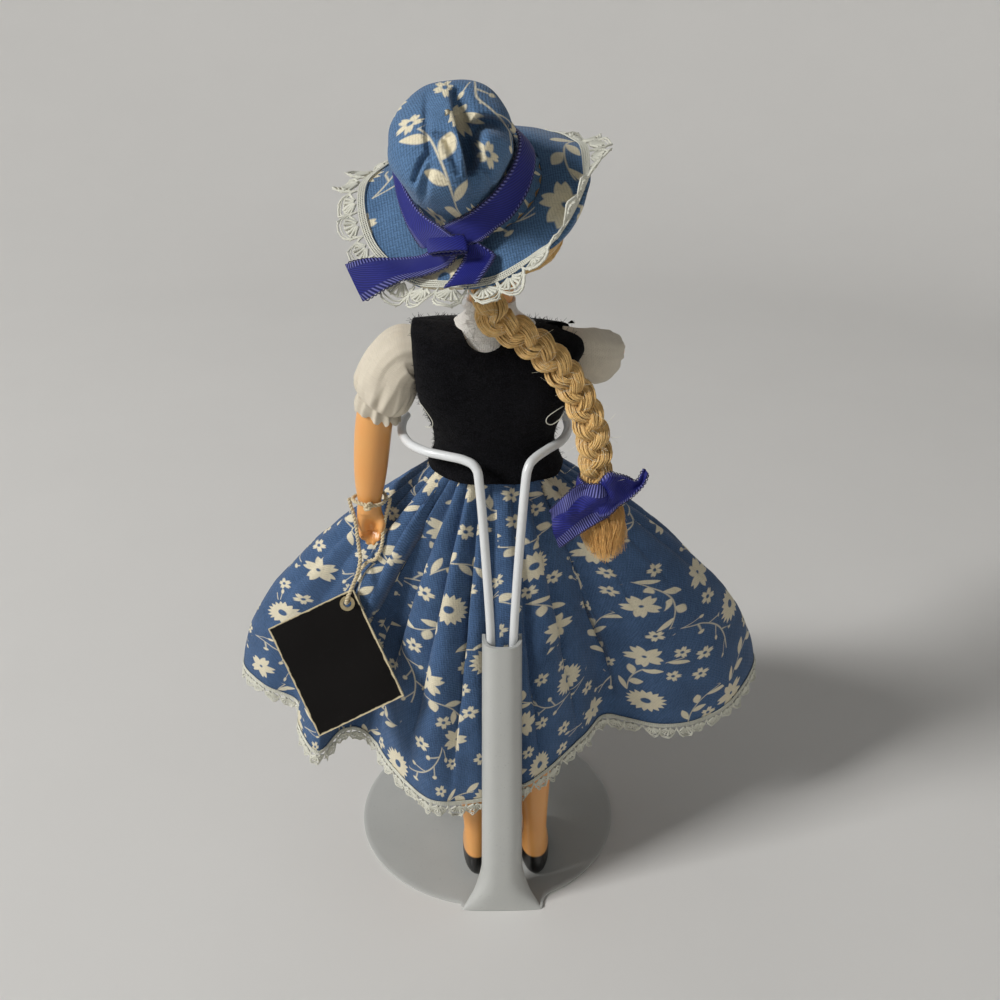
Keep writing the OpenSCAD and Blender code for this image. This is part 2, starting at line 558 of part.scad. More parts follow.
knot_turn = 25;
knot_r = band_r + ribbon_t + 1.7;
module bonnet_knot() color(ribbon_blue) at_hat() rotate([0, 0, -knot_turn]) translate([0, knot_r, 0])
    loft([for (r = [[0.5, 2.6, 1], [2.4, 3.2, 1.5], [4.3, 2.6, 1]]) ring(0, 0, r[0], r[1], r[2], 14)]);
function brim_z(p) = let (e = brim_edge(atan2(p[1], p[0])))
    -e[1] * brim_fall((norm(p) - brim_inner_r) / (brim_outer_r * e[0] - brim_inner_r));
module tail(from, to) {
    side = unit([from[1] - to[1], to[0] - from[0]]) * ribbon_w / 2;
    line = [for (k = [0:4]) mix(from, to, k / 4)];
    function lifted(p) = [p[0], p[1], brim_z(p) + 1.3];
    ribbon([for (p = line) lifted(p + side)], [for (p = line) lifted(p - side)]);
}
module bonnet_tails() color(ribbon_blue) at_hat() {
    tail([11, 16.6], [27, 16.4]);
    tail([3.4, 19.4], [6.4, 26]);
}

module wrist_loop() color(cord_beige) translate(wrist) rotate_extrude()
    translate([loop_r, 0]) circle(d = cord_d);
module tag_cord() color(cord_beige) cord_tube(smooth_path(tag_cord_route, 2), cord_d, 8, [1, 0, 0]);

eyelet_wall = 0.3;
flange_w = 0.8;
flange_t = 0.24;
module eyelet_bore() translate(eyelet_at) rotate([90, 0, 0])
    cylinder(r = eyelet_hole_d / 2 + eyelet_wall, h = 4 * tag_t, center = true);
module tag_cover() color("#141210") at_tag() difference() {
    cube([tag_w, tag_t, tag_h], center = true);
    translate([cover_t, 0, 0]) cube([tag_w, pages_t, tag_h + 1], center = true);
    eyelet_bore();
}
module tag_pages() color("#e6d9b8") at_tag() difference() {
    translate([cover_t / 2, 0, 0])
        cube([tag_w - cover_t - 0.1, pages_t - 0.04, tag_h - 0.3], center = true);
    eyelet_bore();
}
module tag_eyelet() color("gold") at_tag() translate(eyelet_at) rotate([90, 0, 0]) rotate_extrude() {
    translate([eyelet_hole_d / 2, -tag_t / 2]) square([eyelet_wall - 0.02, tag_t]);
    for (y = [-tag_t / 2 - flange_t, tag_t / 2])
        translate([eyelet_hole_d / 2, y]) square([flange_w, flange_t]);
}

stand_base();
stand_wire();
doll_body();
left_arm();
right_arm();
left_arm_peg();
right_arm_peg();
arm_elastic();
hair_cap();
braid();
braid_tuft();
braid_bow();
blouse();
left_sleeve();
right_sleeve();
left_cuff();
right_cuff();
bodice();
front_bow();
skirt();
skirt_lace();
bonnet_crown();
bonnet_brim();
bonnet_lace();
bonnet_band();
bonnet_knot();
bonnet_tails();
wrist_loop();
tag_cord();
tag_cover();
tag_pages();
tag_eyelet();
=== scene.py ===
"""Looks of a costume doll on a wire display stand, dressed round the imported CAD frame.

Lengths are millimetres in the CAD frame: +Z is up, the doll faces -Y and its left side is +X.
They turn into metres only where a mesh is handed to Blender.
"""

from __future__ import annotations

import logging
from bisect import bisect
from dataclasses import dataclass, field
from enum import Enum
from math import atan2, copysign, cos, degrees, exp, hypot, pi, radians, sin, sqrt, tau
from random import Random
from typing import Callable, ClassVar, Iterable, Sequence, TypeVar

import bmesh
import bpy
from mathutils import Matrix, Vector, noise

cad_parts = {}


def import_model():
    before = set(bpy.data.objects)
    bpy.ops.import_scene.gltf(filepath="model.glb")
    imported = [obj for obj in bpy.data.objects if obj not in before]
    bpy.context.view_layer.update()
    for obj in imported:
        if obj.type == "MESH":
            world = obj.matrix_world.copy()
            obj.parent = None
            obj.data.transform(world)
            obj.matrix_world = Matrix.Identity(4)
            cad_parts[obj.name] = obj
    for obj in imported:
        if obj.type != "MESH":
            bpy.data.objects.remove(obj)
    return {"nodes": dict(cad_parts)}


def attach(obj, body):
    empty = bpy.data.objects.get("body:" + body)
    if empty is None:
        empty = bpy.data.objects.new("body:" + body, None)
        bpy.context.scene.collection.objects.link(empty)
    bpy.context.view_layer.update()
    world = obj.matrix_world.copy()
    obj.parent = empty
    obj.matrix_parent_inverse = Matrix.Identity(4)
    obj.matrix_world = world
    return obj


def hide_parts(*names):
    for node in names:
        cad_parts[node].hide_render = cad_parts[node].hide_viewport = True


MM = 0.001
log = logging.getLogger("costume_doll")

Point = Sequence[float]
Surface = Callable[[float, float], Vector]
Points = tuple[tuple[float, ...], ...]
Colour = tuple[float, float, float, float]
Value = TypeVar("Value", float, Vector)
Pair = tuple[float, float]
Triple = tuple[float, float, float]
Path = Sequence[Vector]
Flat = Callable[[float, float], Pair]
Test = Callable[[Vector], bool]
Mesh = bmesh.types.BMesh
Item = bpy.types.Object
Socket = bpy.types.NodeSocket
Feeds = dict[str | int, object]


# Numbers and curves


def mix(a: float, b: float, share: float) -> float:
    """Blend two numbers."""
    return a + (b - a) * share


def bell(x: float, width: float) -> float:
    """Smooth bump of height one at x = 0."""
    return exp(-((x / width) ** 2))


def ease(low: float, high: float, x: float) -> float:
    """Smooth step from 0 at low to 1 at high."""
    t = min(max((x - low) / (high - low), 0.0), 1.0)
    return t * t * (3 - 2 * t)


def bent(c: float, power: float) -> float:
    """Coordinate of a rounded-square section, where a power of 2 is an ellipse."""
    return copysign(abs(c) ** (2 / power), c)


def ripple(place: Point, scale: float) -> float:
    """Signed smooth noise at a place in millimetres."""
    return noise.noise(Vector(place) * scale)


def round_ripple(angle: float, reach: float, height: float, scale: float) -> float:
    """Signed smooth noise that meets itself round a ring."""
    return ripple((cos(angle) * reach, sin(angle) * reach, height), scale)


def turns(count: int) -> list[float]:
    """Even angles round a circle, both ends included."""
    return [tau * i / count for i in range(count + 1)]


def between(a: Value, b: Value, c: Value, d: Value, s: float) -> Value:
    """Place at a share of the way from b to c on a smooth curve through four places or numbers."""
    square, cube = (2 * a - 5 * b + 4 * c - d) * s**2, (3 * b - a - 3 * c + d) * s**3
    return (2 * b + (c - a) * s + square + cube) / 2


@dataclass(frozen=True)
class Spline:
    """Smooth curve through given points, open or closed."""

    points: Sequence[Point]
    closed: bool = False

    def at(self, share: float) -> Vector:
        """Point on the curve.

        Args:
            share: 0 at the first point, 1 at the last one or back at the first.

        Returns:
            The point, with as many coordinates as the curve's points have.
        """
        n = len(self.points)
        spans = n if self.closed else n - 1
        place = min(max(share, 0.0), 1.0) * spans
        i = min(int(place), spans - 1)
        s = place - i

        def pick(k: int) -> Vector:
            """Chosen point of a number, round the ends or held at them."""
            return Vector(self.points[k % n if self.closed else min(max(k, 0), n - 1)])

        return between(pick(i - 1), pick(i), pick(i + 1), pick(i + 2), s)

    def sampled(self, count: int) -> list[Vector]:
        """Points at even shares of the curve, both ends included."""
        return [self.at(i / (count - 1)) for i in range(count)]


def table_row(table: Sequence[Sequence[float]], x: float) -> list[float]:
    """Smoothly interpolated row of a table whose first column rises."""
    n = len(table)
    i = next((k for k in range(n - 2) if x <= table[k + 1][0]), n - 2)
    s = (x - table[i][0]) / (table[i + 1][0] - table[i][0])
    s = min(max(s, 0.0), 1.0)
    rows = table[max(i - 1, 0)], table[i], table[i + 1], table[min(i + 2, n - 1)]
    return [between(*column, s) for column in zip(*rows)]


def frames(path: Path, side: Point) -> list[tuple[Vector, Vector, Vector]]:
    """Carry a side direction along a path without twist.

    Args:
        path: points of the path.
        side: direction that the first frame's side leans to.

    Returns:
        For each point its tangent, its side and the direction across both.
    """
    made, u = [], Vector(side)
    for i in range(len(path)):
        t = (path[min(i + 1, len(path) - 1)] - path[max(i - 1, 0)]).normalized()
        u = (u - u.dot(t) * t).normalized()
        made.append((t, u, t.cross(u)))
    return made


def distances(path: Path) -> list[float]:
    """Distance along a polyline at each of its points."""
    made = [0.0]
    for a, b in zip(path, path[1:]):
        made.append(made[-1] + (b - a).length)
    return made


def evenly(path: Path, step: float) -> list[Vector]:
    """Resample a polyline at nearly even steps."""
    total = distances(path)[-1]
    count = max(2, round(total / step) + 1)
    made, i, gone = [path[0]], 0, 0.0
    for k in range(1, count):
        goal = total * k / (count - 1)
        while i < len(path) - 2 and gone + (path[i + 1] - path[i]).length < goal:
            gone += (path[i + 1] - path[i]).length
            i += 1
        leg = (path[i + 1] - path[i]).length
        made.append(path[i].lerp(path[i + 1], min((goal - gone) / leg if leg else 0.0, 1.0)))
    return made


# Shader graphs


def tone(code: str) -> Colour:
    """Linear colour of a written hex colour."""
    parts = [int(code[i:i + 2], 16) / 255 for i in (1, 3, 5)]
    red, green, blue = (
        p / 12.92 if p <= 0.04045 else ((p + 0.055) / 1.055) ** 2.4 for p in parts
    )
    return red, green, blue, 1.0


def shade(code: str, times: float, plus: float = 0.0) -> Colour:
    """Linear colour of a written hex colour, made darker or lighter."""
    return *(min(c * times + plus, 1.0) for c in tone(code)[:3]), 1.0


class Wave:
    """Shader value that ordinary operators turn into Math nodes."""

    def __init__(self, graph: Graph, socket: Socket) -> None:
        """Wrap one output socket."""
        self.graph, self.socket = graph, socket

    def __add__(self, other: Wave | float) -> Wave:
        """Sum."""
        return self.graph.math("ADD", self, other)

    def __sub__(self, other: Wave | float) -> Wave:
        """Difference."""
        return self.graph.math("SUBTRACT", self, other)

    def __rsub__(self, other: float) -> Wave:
        """Difference from a number."""
        return self.graph.math("SUBTRACT", other, self)

    def __mul__(self, other: Wave | float) -> Wave:
        """Product."""
        return self.graph.math("MULTIPLY", self, other)

    def __truediv__(self, other: Wave | float) -> Wave:
        """Quotient."""
        return self.graph.math("DIVIDE", self, other)

    __radd__ = __add__
    __rmul__ = __mul__

    def apply(self, operation: str, other: Wave | float = 0.0) -> Wave:
        """Any other Math node, by its operation's name."""
        return self.graph.math(operation, self, other)

    def under(self, edge: Wave | float, soft: float) -> Wave:
        """Mask that is 1 where the value is below an edge, with a soft border."""
        return self.graph.math("MULTIPLY_ADD", (self - edge) / soft, -0.5, 0.5, clamp=True)

    def over(self, edge: Wave | float, soft: float) -> Wave:
        """Mask that is 1 where the value is above an edge, with a soft border."""
        return self.graph.math("MULTIPLY_ADD", (self - edge) / soft, 0.5, 0.5, clamp=True)


class Graph:
    """Short way to write a shader tree."""

    def __init__(self, tree: bpy.types.NodeTree) -> None:
        """Write into one tree."""
        self.tree = tree

    def node(self, kind: str, feeds: Feeds | None = None, **settings: object) -> bpy.types.Node:
        """New node with its settings and the values of its inputs."""
        made = self.tree.nodes.new(kind)
        for name, value in settings.items():
            setattr(made, name, value)
        for socket, value in (feeds or {}).items():
            self.feed(made.inputs[socket], value)
        return made

    def feed(self, socket: Socket, value: object) -> None:
        """Link a socket to a shader value, or set its number, colour or vector."""
        if isinstance(value, Wave):
            value = value.socket
        if isinstance(value, Socket):
            self.tree.links.new(value, socket)
        else:
            socket.default_value = value

    def math(self, operation: str, *values: Wave | float, clamp: bool = False) -> Wave:
        """One Math node."""
        made = self.node("ShaderNodeMath", dict(enumerate(values)), operation=operation, use_clamp=clamp)
        return Wave(self, made.outputs[0])

    def largest(self, *values: Wave) -> Wave:
        """Largest of several values."""
        best = values[0]
        for value in values[1:]:
            best = best.apply("MAXIMUM", value)
        return best

    def parts(self, vector: object) -> tuple[Wave, Wave, Wave]:
        """The three coordinates of a vector or colour."""
        made = self.node("ShaderNodeSeparateXYZ", {0: vector})
        return tuple(Wave(self, out) for out in made.outputs)

    def joined(self, x: object, y: object, z: object = 0.0) -> Socket:
        """Vector from three values."""
        return self.node("ShaderNodeCombineXYZ", {0: x, 1: y, 2: z}).outputs[0]

    def sized(self, place: Socket, times: float) -> Socket:
        """Place times a number."""
        return self.node("ShaderNodeVectorMath", {0: place, "Scale": times}, operation="SCALE").outputs[0]

    def cloth_place(self) -> Socket:
        """Place on the flat cloth, in millimetres, from the piece's own map."""
        return self.node("ShaderNodeUVMap", uv_map="UVMap").outputs[0]

    def object_place(self) -> Socket:
        """Place in the CAD frame, in millimetres."""
        return self.sized(self.node("ShaderNodeTexCoord").outputs["Object"], 1 / MM)

    def grain(self, place: object, scale: float, detail: float = 2.0) -> Wave:
        """Noise between 0 and 1."""
        made = self.node("ShaderNodeTexNoise", {"Vector": place, "Scale": scale, "Detail": detail})
        return Wave(self, made.outputs[0])

    def blend(self, share: object, low: object, high: object) -> Socket:
        """Mix two colours."""
        return self.node("ShaderNodeMix", {0: share, 6: low, 7: high}, data_type="RGBA").outputs[2]

    def relief(self, height: object, depth: float, strength: float = 1.0) -> Socket:
        """Normal from a height, where a height of one is so many millimetres deep."""
        feeds = {"Strength": strength, "Distance": depth * MM, "Height": height}
        return self.node("ShaderNodeBump", feeds).outputs[0]

    def use(self, group: bpy.types.NodeTree, **values: object) -> dict[str, Wave]:
        """Place a node group, feed its inputs and give its outputs by name."""
        made = self.node("ShaderNodeGroup", values, node_tree=group)
        return {out.name: Wave(self, out) for out in made.outputs}


class EffectGroup:
    """Shader node group that is built once and used by several finishes."""

    name = "effect"
    takes: dict[str, str] = {}
    gives: dict[str, str] = {}

    @classmethod
    def tree(cls) -> bpy.types.NodeTree:
        """The group, built at its first use."""
        if cls.name in bpy.data.node_groups:
            return bpy.data.node_groups[cls.name]
        tree = bpy.data.node_groups.new(cls.name, "ShaderNodeTree")
        for label, kind in cls.takes.items():
            tree.interface.new_socket(label, in_out="INPUT", socket_type=f"NodeSocket{kind}")
        for label, kind in cls.gives.items():
            tree.interface.new_socket(label, in_out="OUTPUT", socket_type=f"NodeSocket{kind}")
        graph = Graph(tree)
        graph.node("NodeGroupOutput", cls.made(graph, graph.node("NodeGroupInput")))
        return tree

    @classmethod
    def made(cls, g: Graph, inside: bpy.types.Node) -> Feeds:
        """Build the group's nodes.

        Args:
            g: graph of the group's tree.
            inside: the group's input node.

        Returns:
            A value for each output.
        """
        raise NotImplementedError


class Weave(EffectGroup):
    """Over-and-under threads of a woven cloth."""

    name = "weave"
    takes = {"Place": "Vector", "Pitch": "Float"}
    gives = {"Height": "Float", "Thread": "Float"}

    @classmethod
    def made(cls, g: Graph, inside: bpy.types.Node) -> Feeds:
        """Threads that pass over two and under one, with uneven thickness."""
        x, y, _ = g.parts(inside.outputs["Place"])
        pitch = Wave(g, inside.outputs["Pitch"])
        warp, weft = x / pitch, y / pitch
        step = (warp.apply("FLOOR") + weft.apply("FLOOR")).apply("FLOORED_MODULO", 3.0)
        top = step.under(1.5, 0.01)
        across = (warp * pi).apply("SINE").apply("ABSOLUTE")
        along = (weft * pi).apply("SINE").apply("ABSOLUTE")
        slub = g.grain(g.joined(x * 0.35, y * 2.4), 1.0)
        height = across * top + along * (1.0 - top)
        return {"Height": height * (0.7 + slub * 0.6), "Thread": slub}


@dataclass(frozen=True)
class Scatter:
    """Grid turned by so many degrees, with a motif no further than the spread from each cell's middle."""

    pitch: float
    turn: float
    spread: float
    seed: float


class FlowerPrint(EffectGroup):
    """Scattered daisies, five-petal flowers and sprigs of leaves or berries."""

    name = "flower_print"
    takes = {"Place": "Vector"}
    gives = {"Motif": "Float"}
    soft = 0.16
    blooms = Scatter(20.5, 24.0, 3.6, 1.0)
    sprays = Scatter(20.0, -33.0, 1.4, 2.0)
    buds = Scatter(7.6, 9.0, 1.3, 3.0)
    half_stem = 9.8

    @classmethod
    def cell(cls, g: Graph, place: object, grid: Scatter) -> tuple[Wave, Wave, Wave, Socket]:
        """Local place on the motif of each cell.

        Args:
            g: graph to write into.
            place: place on the cloth.
            grid: grid of the cells.

        Returns:
            The two local coordinates, turned at random, a random share for the cell, and the motif's middle.
        """
        x, y, _ = g.parts(place)
        c, s = cos(radians(grid.turn)), sin(radians(grid.turn))
        px, py = x * c + y * s, y * c - x * s
        column, row = (px / grid.pitch).apply("FLOOR"), (py / grid.pitch).apply("FLOOR")
        seeds = {"Vector": g.joined(column, row, grid.seed)}
        chance = g.node("ShaderNodeTexWhiteNoise", seeds, noise_dimensions="3D")
        red, green, blue = g.parts(chance.outputs["Color"])
        mx = (column + 0.5) * grid.pitch + (red - 0.5) * (2 * grid.spread)
        my = (row + 0.5) * grid.pitch + (green - 0.5) * (2 * grid.spread)
        lx, ly = px - mx, py - my
        spin = blue * tau
        cs, sn = spin.apply("COSINE"), spin.apply("SINE")
        middle = g.joined(mx * c - my * s, mx * s + my * c)
        return lx * cs + ly * sn, ly * cs - lx * sn, Wave(g, chance.outputs["Value"]), middle

    @classmethod
    def polar(cls, g: Graph, x: Wave, y: Wave) -> tuple[Wave, Wave]:
        """Distance from the motif's middle and turn round it, in whole turns."""
        far = (x * x + y * y).apply("SQRT")
        return far, g.math("ARCTAN2", y, x) / tau + 0.5

    @classmethod
    def daisy(cls, far: Wave, turn: Wave, radius: float, rays: int) -> Wave:
        """Ray flower with pointed petals and an open eye."""
        point = ((turn * rays).apply("FRACT") - 0.5).apply("ABSOLUTE") * 2.0
        disc = far.under(radius * 0.74 + point * (radius * 0.26), cls.soft)
        return disc * far.over(radius * 0.24, cls.soft)

    @classmethod
    def petals(cls, far: Wave, turn: Wave, radius: float, count: int) -> Wave:
        """Flower of separate round petals with a notch at each tip."""
        sector = ((turn * count).apply("FRACT") - 0.5).apply("ABSOLUTE")
        off = sector * far * (tau / count)
        rise = far / radius
        half = (rise * (1.14 - rise)).apply("MAXIMUM", 0.0).apply("SQRT") * (radius * 0.66)
        notch = off.under((far - radius * 0.84) * 0.8, cls.soft)
        return off.under(half - 0.14, cls.soft) * (1.0 - notch) * far.over(0.5, cls.soft)

    @classmethod
    def sprig(cls, g: Graph, x: Wave, y: Wave, chance: Wave) -> tuple[Wave, Wave]:
        """Bowed stem with leaves on some cells and berries on the others.

        Args:
            g: graph to write into.
            x: place along the stem.
            y: place across it.
            chance: random share of the cell.

        Returns:
            The sprig's mask, and a mask of the room that it takes.
        """
        gap, reach, lean, half = 3.2, 4.4, radians(44), cls.half_stem
        bow = y + (x * x - half * half / 3) * 0.045
        span = x.apply("ABSOLUTE").under(half, cls.soft)
        turn = (x / gap).apply("FLOOR")
        flip = turn.apply("FLOORED_MODULO", 2.0) * 2.0 - 1.0
        lx, ly = x - turn * gap, bow * flip
        u = lx * cos(lean) + ly * sin(lean)
        w = ly * cos(lean) - lx * sin(lean)
        swell = u / reach * (1.0 - u / reach)
        leaf = w.apply("ABSOLUTE").under(swell * 4.0, cls.soft) * swell.over(0.02, 0.02)
        tip = u - reach * 0.82
        berry = (tip * tip + w * w).apply("SQRT").under(0.62, cls.soft)
        stalk = w.apply("ABSOLUTE").under(0.13, cls.soft)
        stalk = stalk * u.over(0.0, cls.soft) * u.under(reach * 0.8, cls.soft)
        leafy = chance.under(0.58, 0.001)
        growth = leaf * leafy + g.largest(berry, stalk) * (1.0 - leafy)
        stem = bow.apply("ABSOLUTE").under(0.15, cls.soft)
        room = bow.apply("ABSOLUTE").under(reach, cls.soft) * x.apply("ABSOLUTE").under(half + 1.2, cls.soft)
        return g.largest(growth, stem) * span, room

    @classmethod
    def made(cls, g: Graph, inside: bpy.types.Node) -> Feeds:
        """Three layers, where a lesser motif gives way to a larger one."""
        drift = {0: inside.outputs["Place"], 1: (311.0, 173.0, 0.0)}
        place = g.node("ShaderNodeVectorMath", drift, operation="ADD").outputs[0]
        x, y, chance, _ = cls.cell(g, place, cls.blooms)
        far, turn = cls.polar(g, x, y)
        rayed = chance.under(0.5, 0.001)
        large = cls.daisy(far, turn, 4.5, 17) * rayed + cls.petals(far, turn, 4.2, 5) * (1.0 - rayed)
        clear = far.over(5.2, cls.soft)
        x, y, chance, _ = cls.cell(g, place, cls.sprays)
        sprig, _ = cls.sprig(g, x, y, chance)
        x, y, chance, middle = cls.cell(g, place, cls.buds)
        far, turn = cls.polar(g, x, y)
        bx, by, _, _ = cls.cell(g, middle, cls.blooms)
        sx, sy, other, _ = cls.cell(g, middle, cls.sprays)
        off_bloom, on_spray = cls.polar(g, bx, by)[0].over(6.9, 0.01), cls.sprig(g, sx, sy, other)[1]
        apart = (off_bloom * (1.0 - on_spray)).over(0.5, 0.001)
        small = cls.petals(far, turn, 2.1, 5) * chance.under(0.7, 0.001) * apart
        motif = g.largest(large, sprig * clear, small)
        return {"Motif": motif * (0.86 + g.grain(place, 0.9, 4.0) * 0.2)}


class Scuff(EffectGroup):
    """Fine marks and smears that break up a plain coating."""

    name = "scuff"
    takes = {"Place": "Vector"}
    gives = {"Smear": "Float", "Speck": "Float"}

    @classmethod
    def made(cls, g: Graph, inside: bpy.types.Node) -> Feeds:
        """Broad smears, and specks where a fine noise peaks."""
        place = inside.outputs["Place"]
        return {"Smear": g.grain(place, 0.06, 5.0), "Speck": g.grain(place, 1.6, 3.0).over(0.69, 0.05)}


# Finishes


@dataclass(frozen=True)
class Finish:
    """Surface finish that makes its own material once."""

    name: str
    slot: str
    colour: str
    constants: ClassVar[dict[str, float]] = {}

    def material(self) -> bpy.types.Material:
        """The finish's material."""
        if self.name in bpy.data.materials:
            return bpy.data.materials[self.name]
        made = bpy.data.materials.new(self.name)
        made.use_nodes = True
        made.node_tree.nodes.clear()
        graph = Graph(made.node_tree)
        shader = graph.node("ShaderNodeBsdfPrincipled", {**self.constants, **self.paint(graph)})
        graph.node("ShaderNodeOutputMaterial", {"Surface": shader.outputs[0]})
        return made

    def paint(self, g: Graph) -> Feeds:
        """Look of the surface.

        Args:
            g: graph of the material.

        Returns:
            The values of the shader's inputs that aren't constant.
        """
        raise NotImplementedError


@dataclass(frozen=True)
class Cotton(Finish):
    """Woven cotton, plain or with a flower print."""

    motif: str = ""
    pitch: float = 0.46
    scale: float = 1.0
    slub: float = 1.0
    constants = {
        "Roughness": 0.86, "Specular IOR Level": 0.25, "Sheen Weight": 0.12, "Sheen Roughness": 0.5,
    }

    def paint(self, g: Graph) -> Feeds:
        """Threads, worn colour, painted shade between the threads, and the print."""
        place = g.cloth_place()
        weave = g.use(Weave.tree(), Place=place, Pitch=self.pitch)
        worn = g.grain(place, 0.08, 3.0)
        dark = shade(self.colour, 1 - 0.62 * self.slub)
        light = shade(self.colour, 1 + 0.45 * self.slub, 0.045 * self.slub)
        # The weave's height darkens the low edges of each thread: painted shade between the threads. Thread
        # tone and wear are the cloth's own. The print's cream below takes the same painted shade.
        share = weave["Thread"] * 0.45 + weave["Height"] * 0.45 + (worn - 0.5) * 0.5
        colour = g.blend(share, dark, light)
        if self.motif:
            flowers = g.use(FlowerPrint.tree(), Place=g.sized(place, 1 / self.scale))
            cream = g.blend(share, shade(self.motif, 0.78), tone(self.motif))
            colour = g.blend(flowers["Motif"], colour, cream)
        return {"Base Color": colour, "Normal": g.relief(weave["Height"], 0.09, 0.7)}


@dataclass(frozen=True)
class Felt(Finish):
    """Pressed felt with a short nap."""

    constants = {
        "Roughness": 0.95, "Specular IOR Level": 0.1, "Sheen Weight": 0.025, "Sheen Roughness": 0.6,
    }

    def paint(self, g: Graph) -> Feeds:
        """Matted fibres in two scales."""
        place = g.object_place()
        nap = g.grain(place, 3.2, 6.0)
        clump = g.grain(place, 0.7, 3.0)
        share = (nap - 0.5) * 3.0 + (clump - 0.5) * 0.8 + 0.3
        colour = g.blend(share, tone(self.colour), shade(self.colour, 4.0, 0.006))
        return {"Base Color": colour, "Normal": g.relief(nap + clump, 0.35, 0.8)}


@dataclass(frozen=True)
class Satin(Finish):
    """Satin ribbon with a stitched edge."""

    width: float = 7.0
    constants = {"Roughness": 0.55, "Specular IOR Level": 0.3}

    def paint(self, g: Graph) -> Feeds:
        """Slanted twill across the ribbon, darkened in its grooves as painted shade, and slanted stitches in
        a band along each edge.
        """
        along, across, _ = g.parts(g.cloth_place())
        twill = ((along * 0.7 + across) * (tau / 0.5)).apply("SINE") * 0.5 + 0.5
        inner = across.apply("ABSOLUTE")
        band = inner.over(self.width / 2 - 1.2, 0.1)
        stitch = ((along + inner * 0.4) * (tau / 0.52)).apply("SINE").over(0.2, 0.4)
        deep, pale = shade(self.colour, 0.34), shade(self.colour, 1.2, 0.13)
        # The twill darkens its grooves towards a deep copy of the colour: painted shade. The grain adds
        # random tone.
        body = g.blend(twill * 0.7 + g.grain(g.object_place(), 0.25) * 0.3, deep, tone(self.colour))
        colour = g.blend(band, body, g.blend(stitch, deep, pale))
        height = twill * (1.0 - band) + stitch * band * 2.0
        return {"Base Color": colour, "Normal": g.relief(height, 0.07, 0.8)}


@dataclass(frozen=True)
class Hair(Finish):
    """Blonde doll's hair."""

    constants = {"Roughness": 0.42, "Sheen Weight": 0.15}

    def paint(self, g: Graph) -> Feeds:
        """Slow change of colour along and among the hairs."""
        place = g.object_place()
        dark, light = shade(self.colour, 0.78), shade(self.colour, 1.3, 0.02)
        colour = g.blend(g.grain(place, 0.9, 4.0) * 1.5 - 0.3, dark, light)
        return {"Base Color": colour, "Normal": g.relief(g.grain(place, 4.0), 0.05, 0.5)}


@dataclass(frozen=True)
class Thread(Finish):
    """Cotton or flax thread, for lace, cord and loose ends."""

    rough: float = 0.85
    constants = {"Sheen Weight": 0.15}

    def paint(self, g: Graph) -> Feeds:
        """Uneven fibres along the thread."""
        place = g.object_place()
        fibre = g.grain(place, 5.0, 3.0)
        share = fibre * 0.7 + g.grain(place, 0.3) * 0.5
        colour = g.blend(share, shade(self.colour, 0.66), tone(self.colour))
        return {"Base Color": colour, "Roughness": self.rough, "Normal": g.relief(fibre, 0.06, 0.6)}


@dataclass(frozen=True)
class Coating(Finish):
    """Satin coating on metal, with handling marks."""

    rough: float = 0.42
    constants = {"Coat Weight": 0.15}

    def paint(self, g: Graph) -> Feeds:
        """Smears in the gloss, faint orange peel and a few specks."""
        place = g.object_place()
        marks = g.use(Scuff.tree(), Place=place)
        smear, speck = marks["Smear"], marks["Speck"]
        body = g.blend(smear, shade(self.colour, 0.86), tone(self.colour))
        return {
            "Base Color": g.blend(speck * 0.35, body, shade(self.colour, 0.6)),
            "Roughness": smear * 0.25 + (self.rough - 0.12),
            "Normal": g.relief(g.grain(place, 1.4), 0.05, 0.25),
        }


@dataclass(frozen=True)
class Card(Finish):
    """Coated card or paper, rubbed bare along the tag's border where that colour is given."""

    rough: float = 0.5
    rubbed: str = ""
    constants = {"Specular IOR Level": 0.12}

    def paint(self, g: Graph) -> Feeds:
        """Faint fibres and rubbed specks."""
        place = g.object_place()
        marks = g.use(Scuff.tree(), Place=place)
        smear, speck = marks["Smear"], marks["Speck"]
        share = speck * 0.3 + (smear - 0.4) * 0.5
        colour = g.blend(share, tone(self.colour), shade(self.colour, 1.6, 0.008))
        if self.rubbed:
            x, y, z = g.parts(place)
            across, up = (
                (x * axis.x + y * axis.y + z * axis.z - TAG.translation.dot(axis)).apply("ABSOLUTE")
                for axis in (TAG.to_3x3().col[0], TAG.to_3x3().col[2])
            )
            inside = g.math("MINIMUM", TAG_SIZE[0] / 2 - across, TAG_SIZE[1] / 2 - up)
            bare = inside.under(g.grain(place, 0.5, 3.0) * 0.7 - 0.02, 0.1)
            colour = g.blend(bare, colour, tone(self.rubbed))
        return {
            "Base Color": colour,
            "Roughness": smear * 0.3 + (self.rough - 0.15),
            "Normal": g.relief(g.grain(place, 6.0), 0.03, 0.4),
        }


@dataclass(frozen=True)
class BareMetal(Finish):
    """Bare pressed metal, tarnished a little."""

    constants = {"Metallic": 1.0}

    def paint(self, g: Graph) -> Feeds:
        """Tarnish in the colour and the gloss."""
        smear = g.grain(g.object_place(), 1.1, 4.0)
        colour = g.blend(smear, shade(self.colour, 0.6), tone(self.colour))
        return {"Base Color": colour, "Roughness": smear * 0.3 + 0.2}


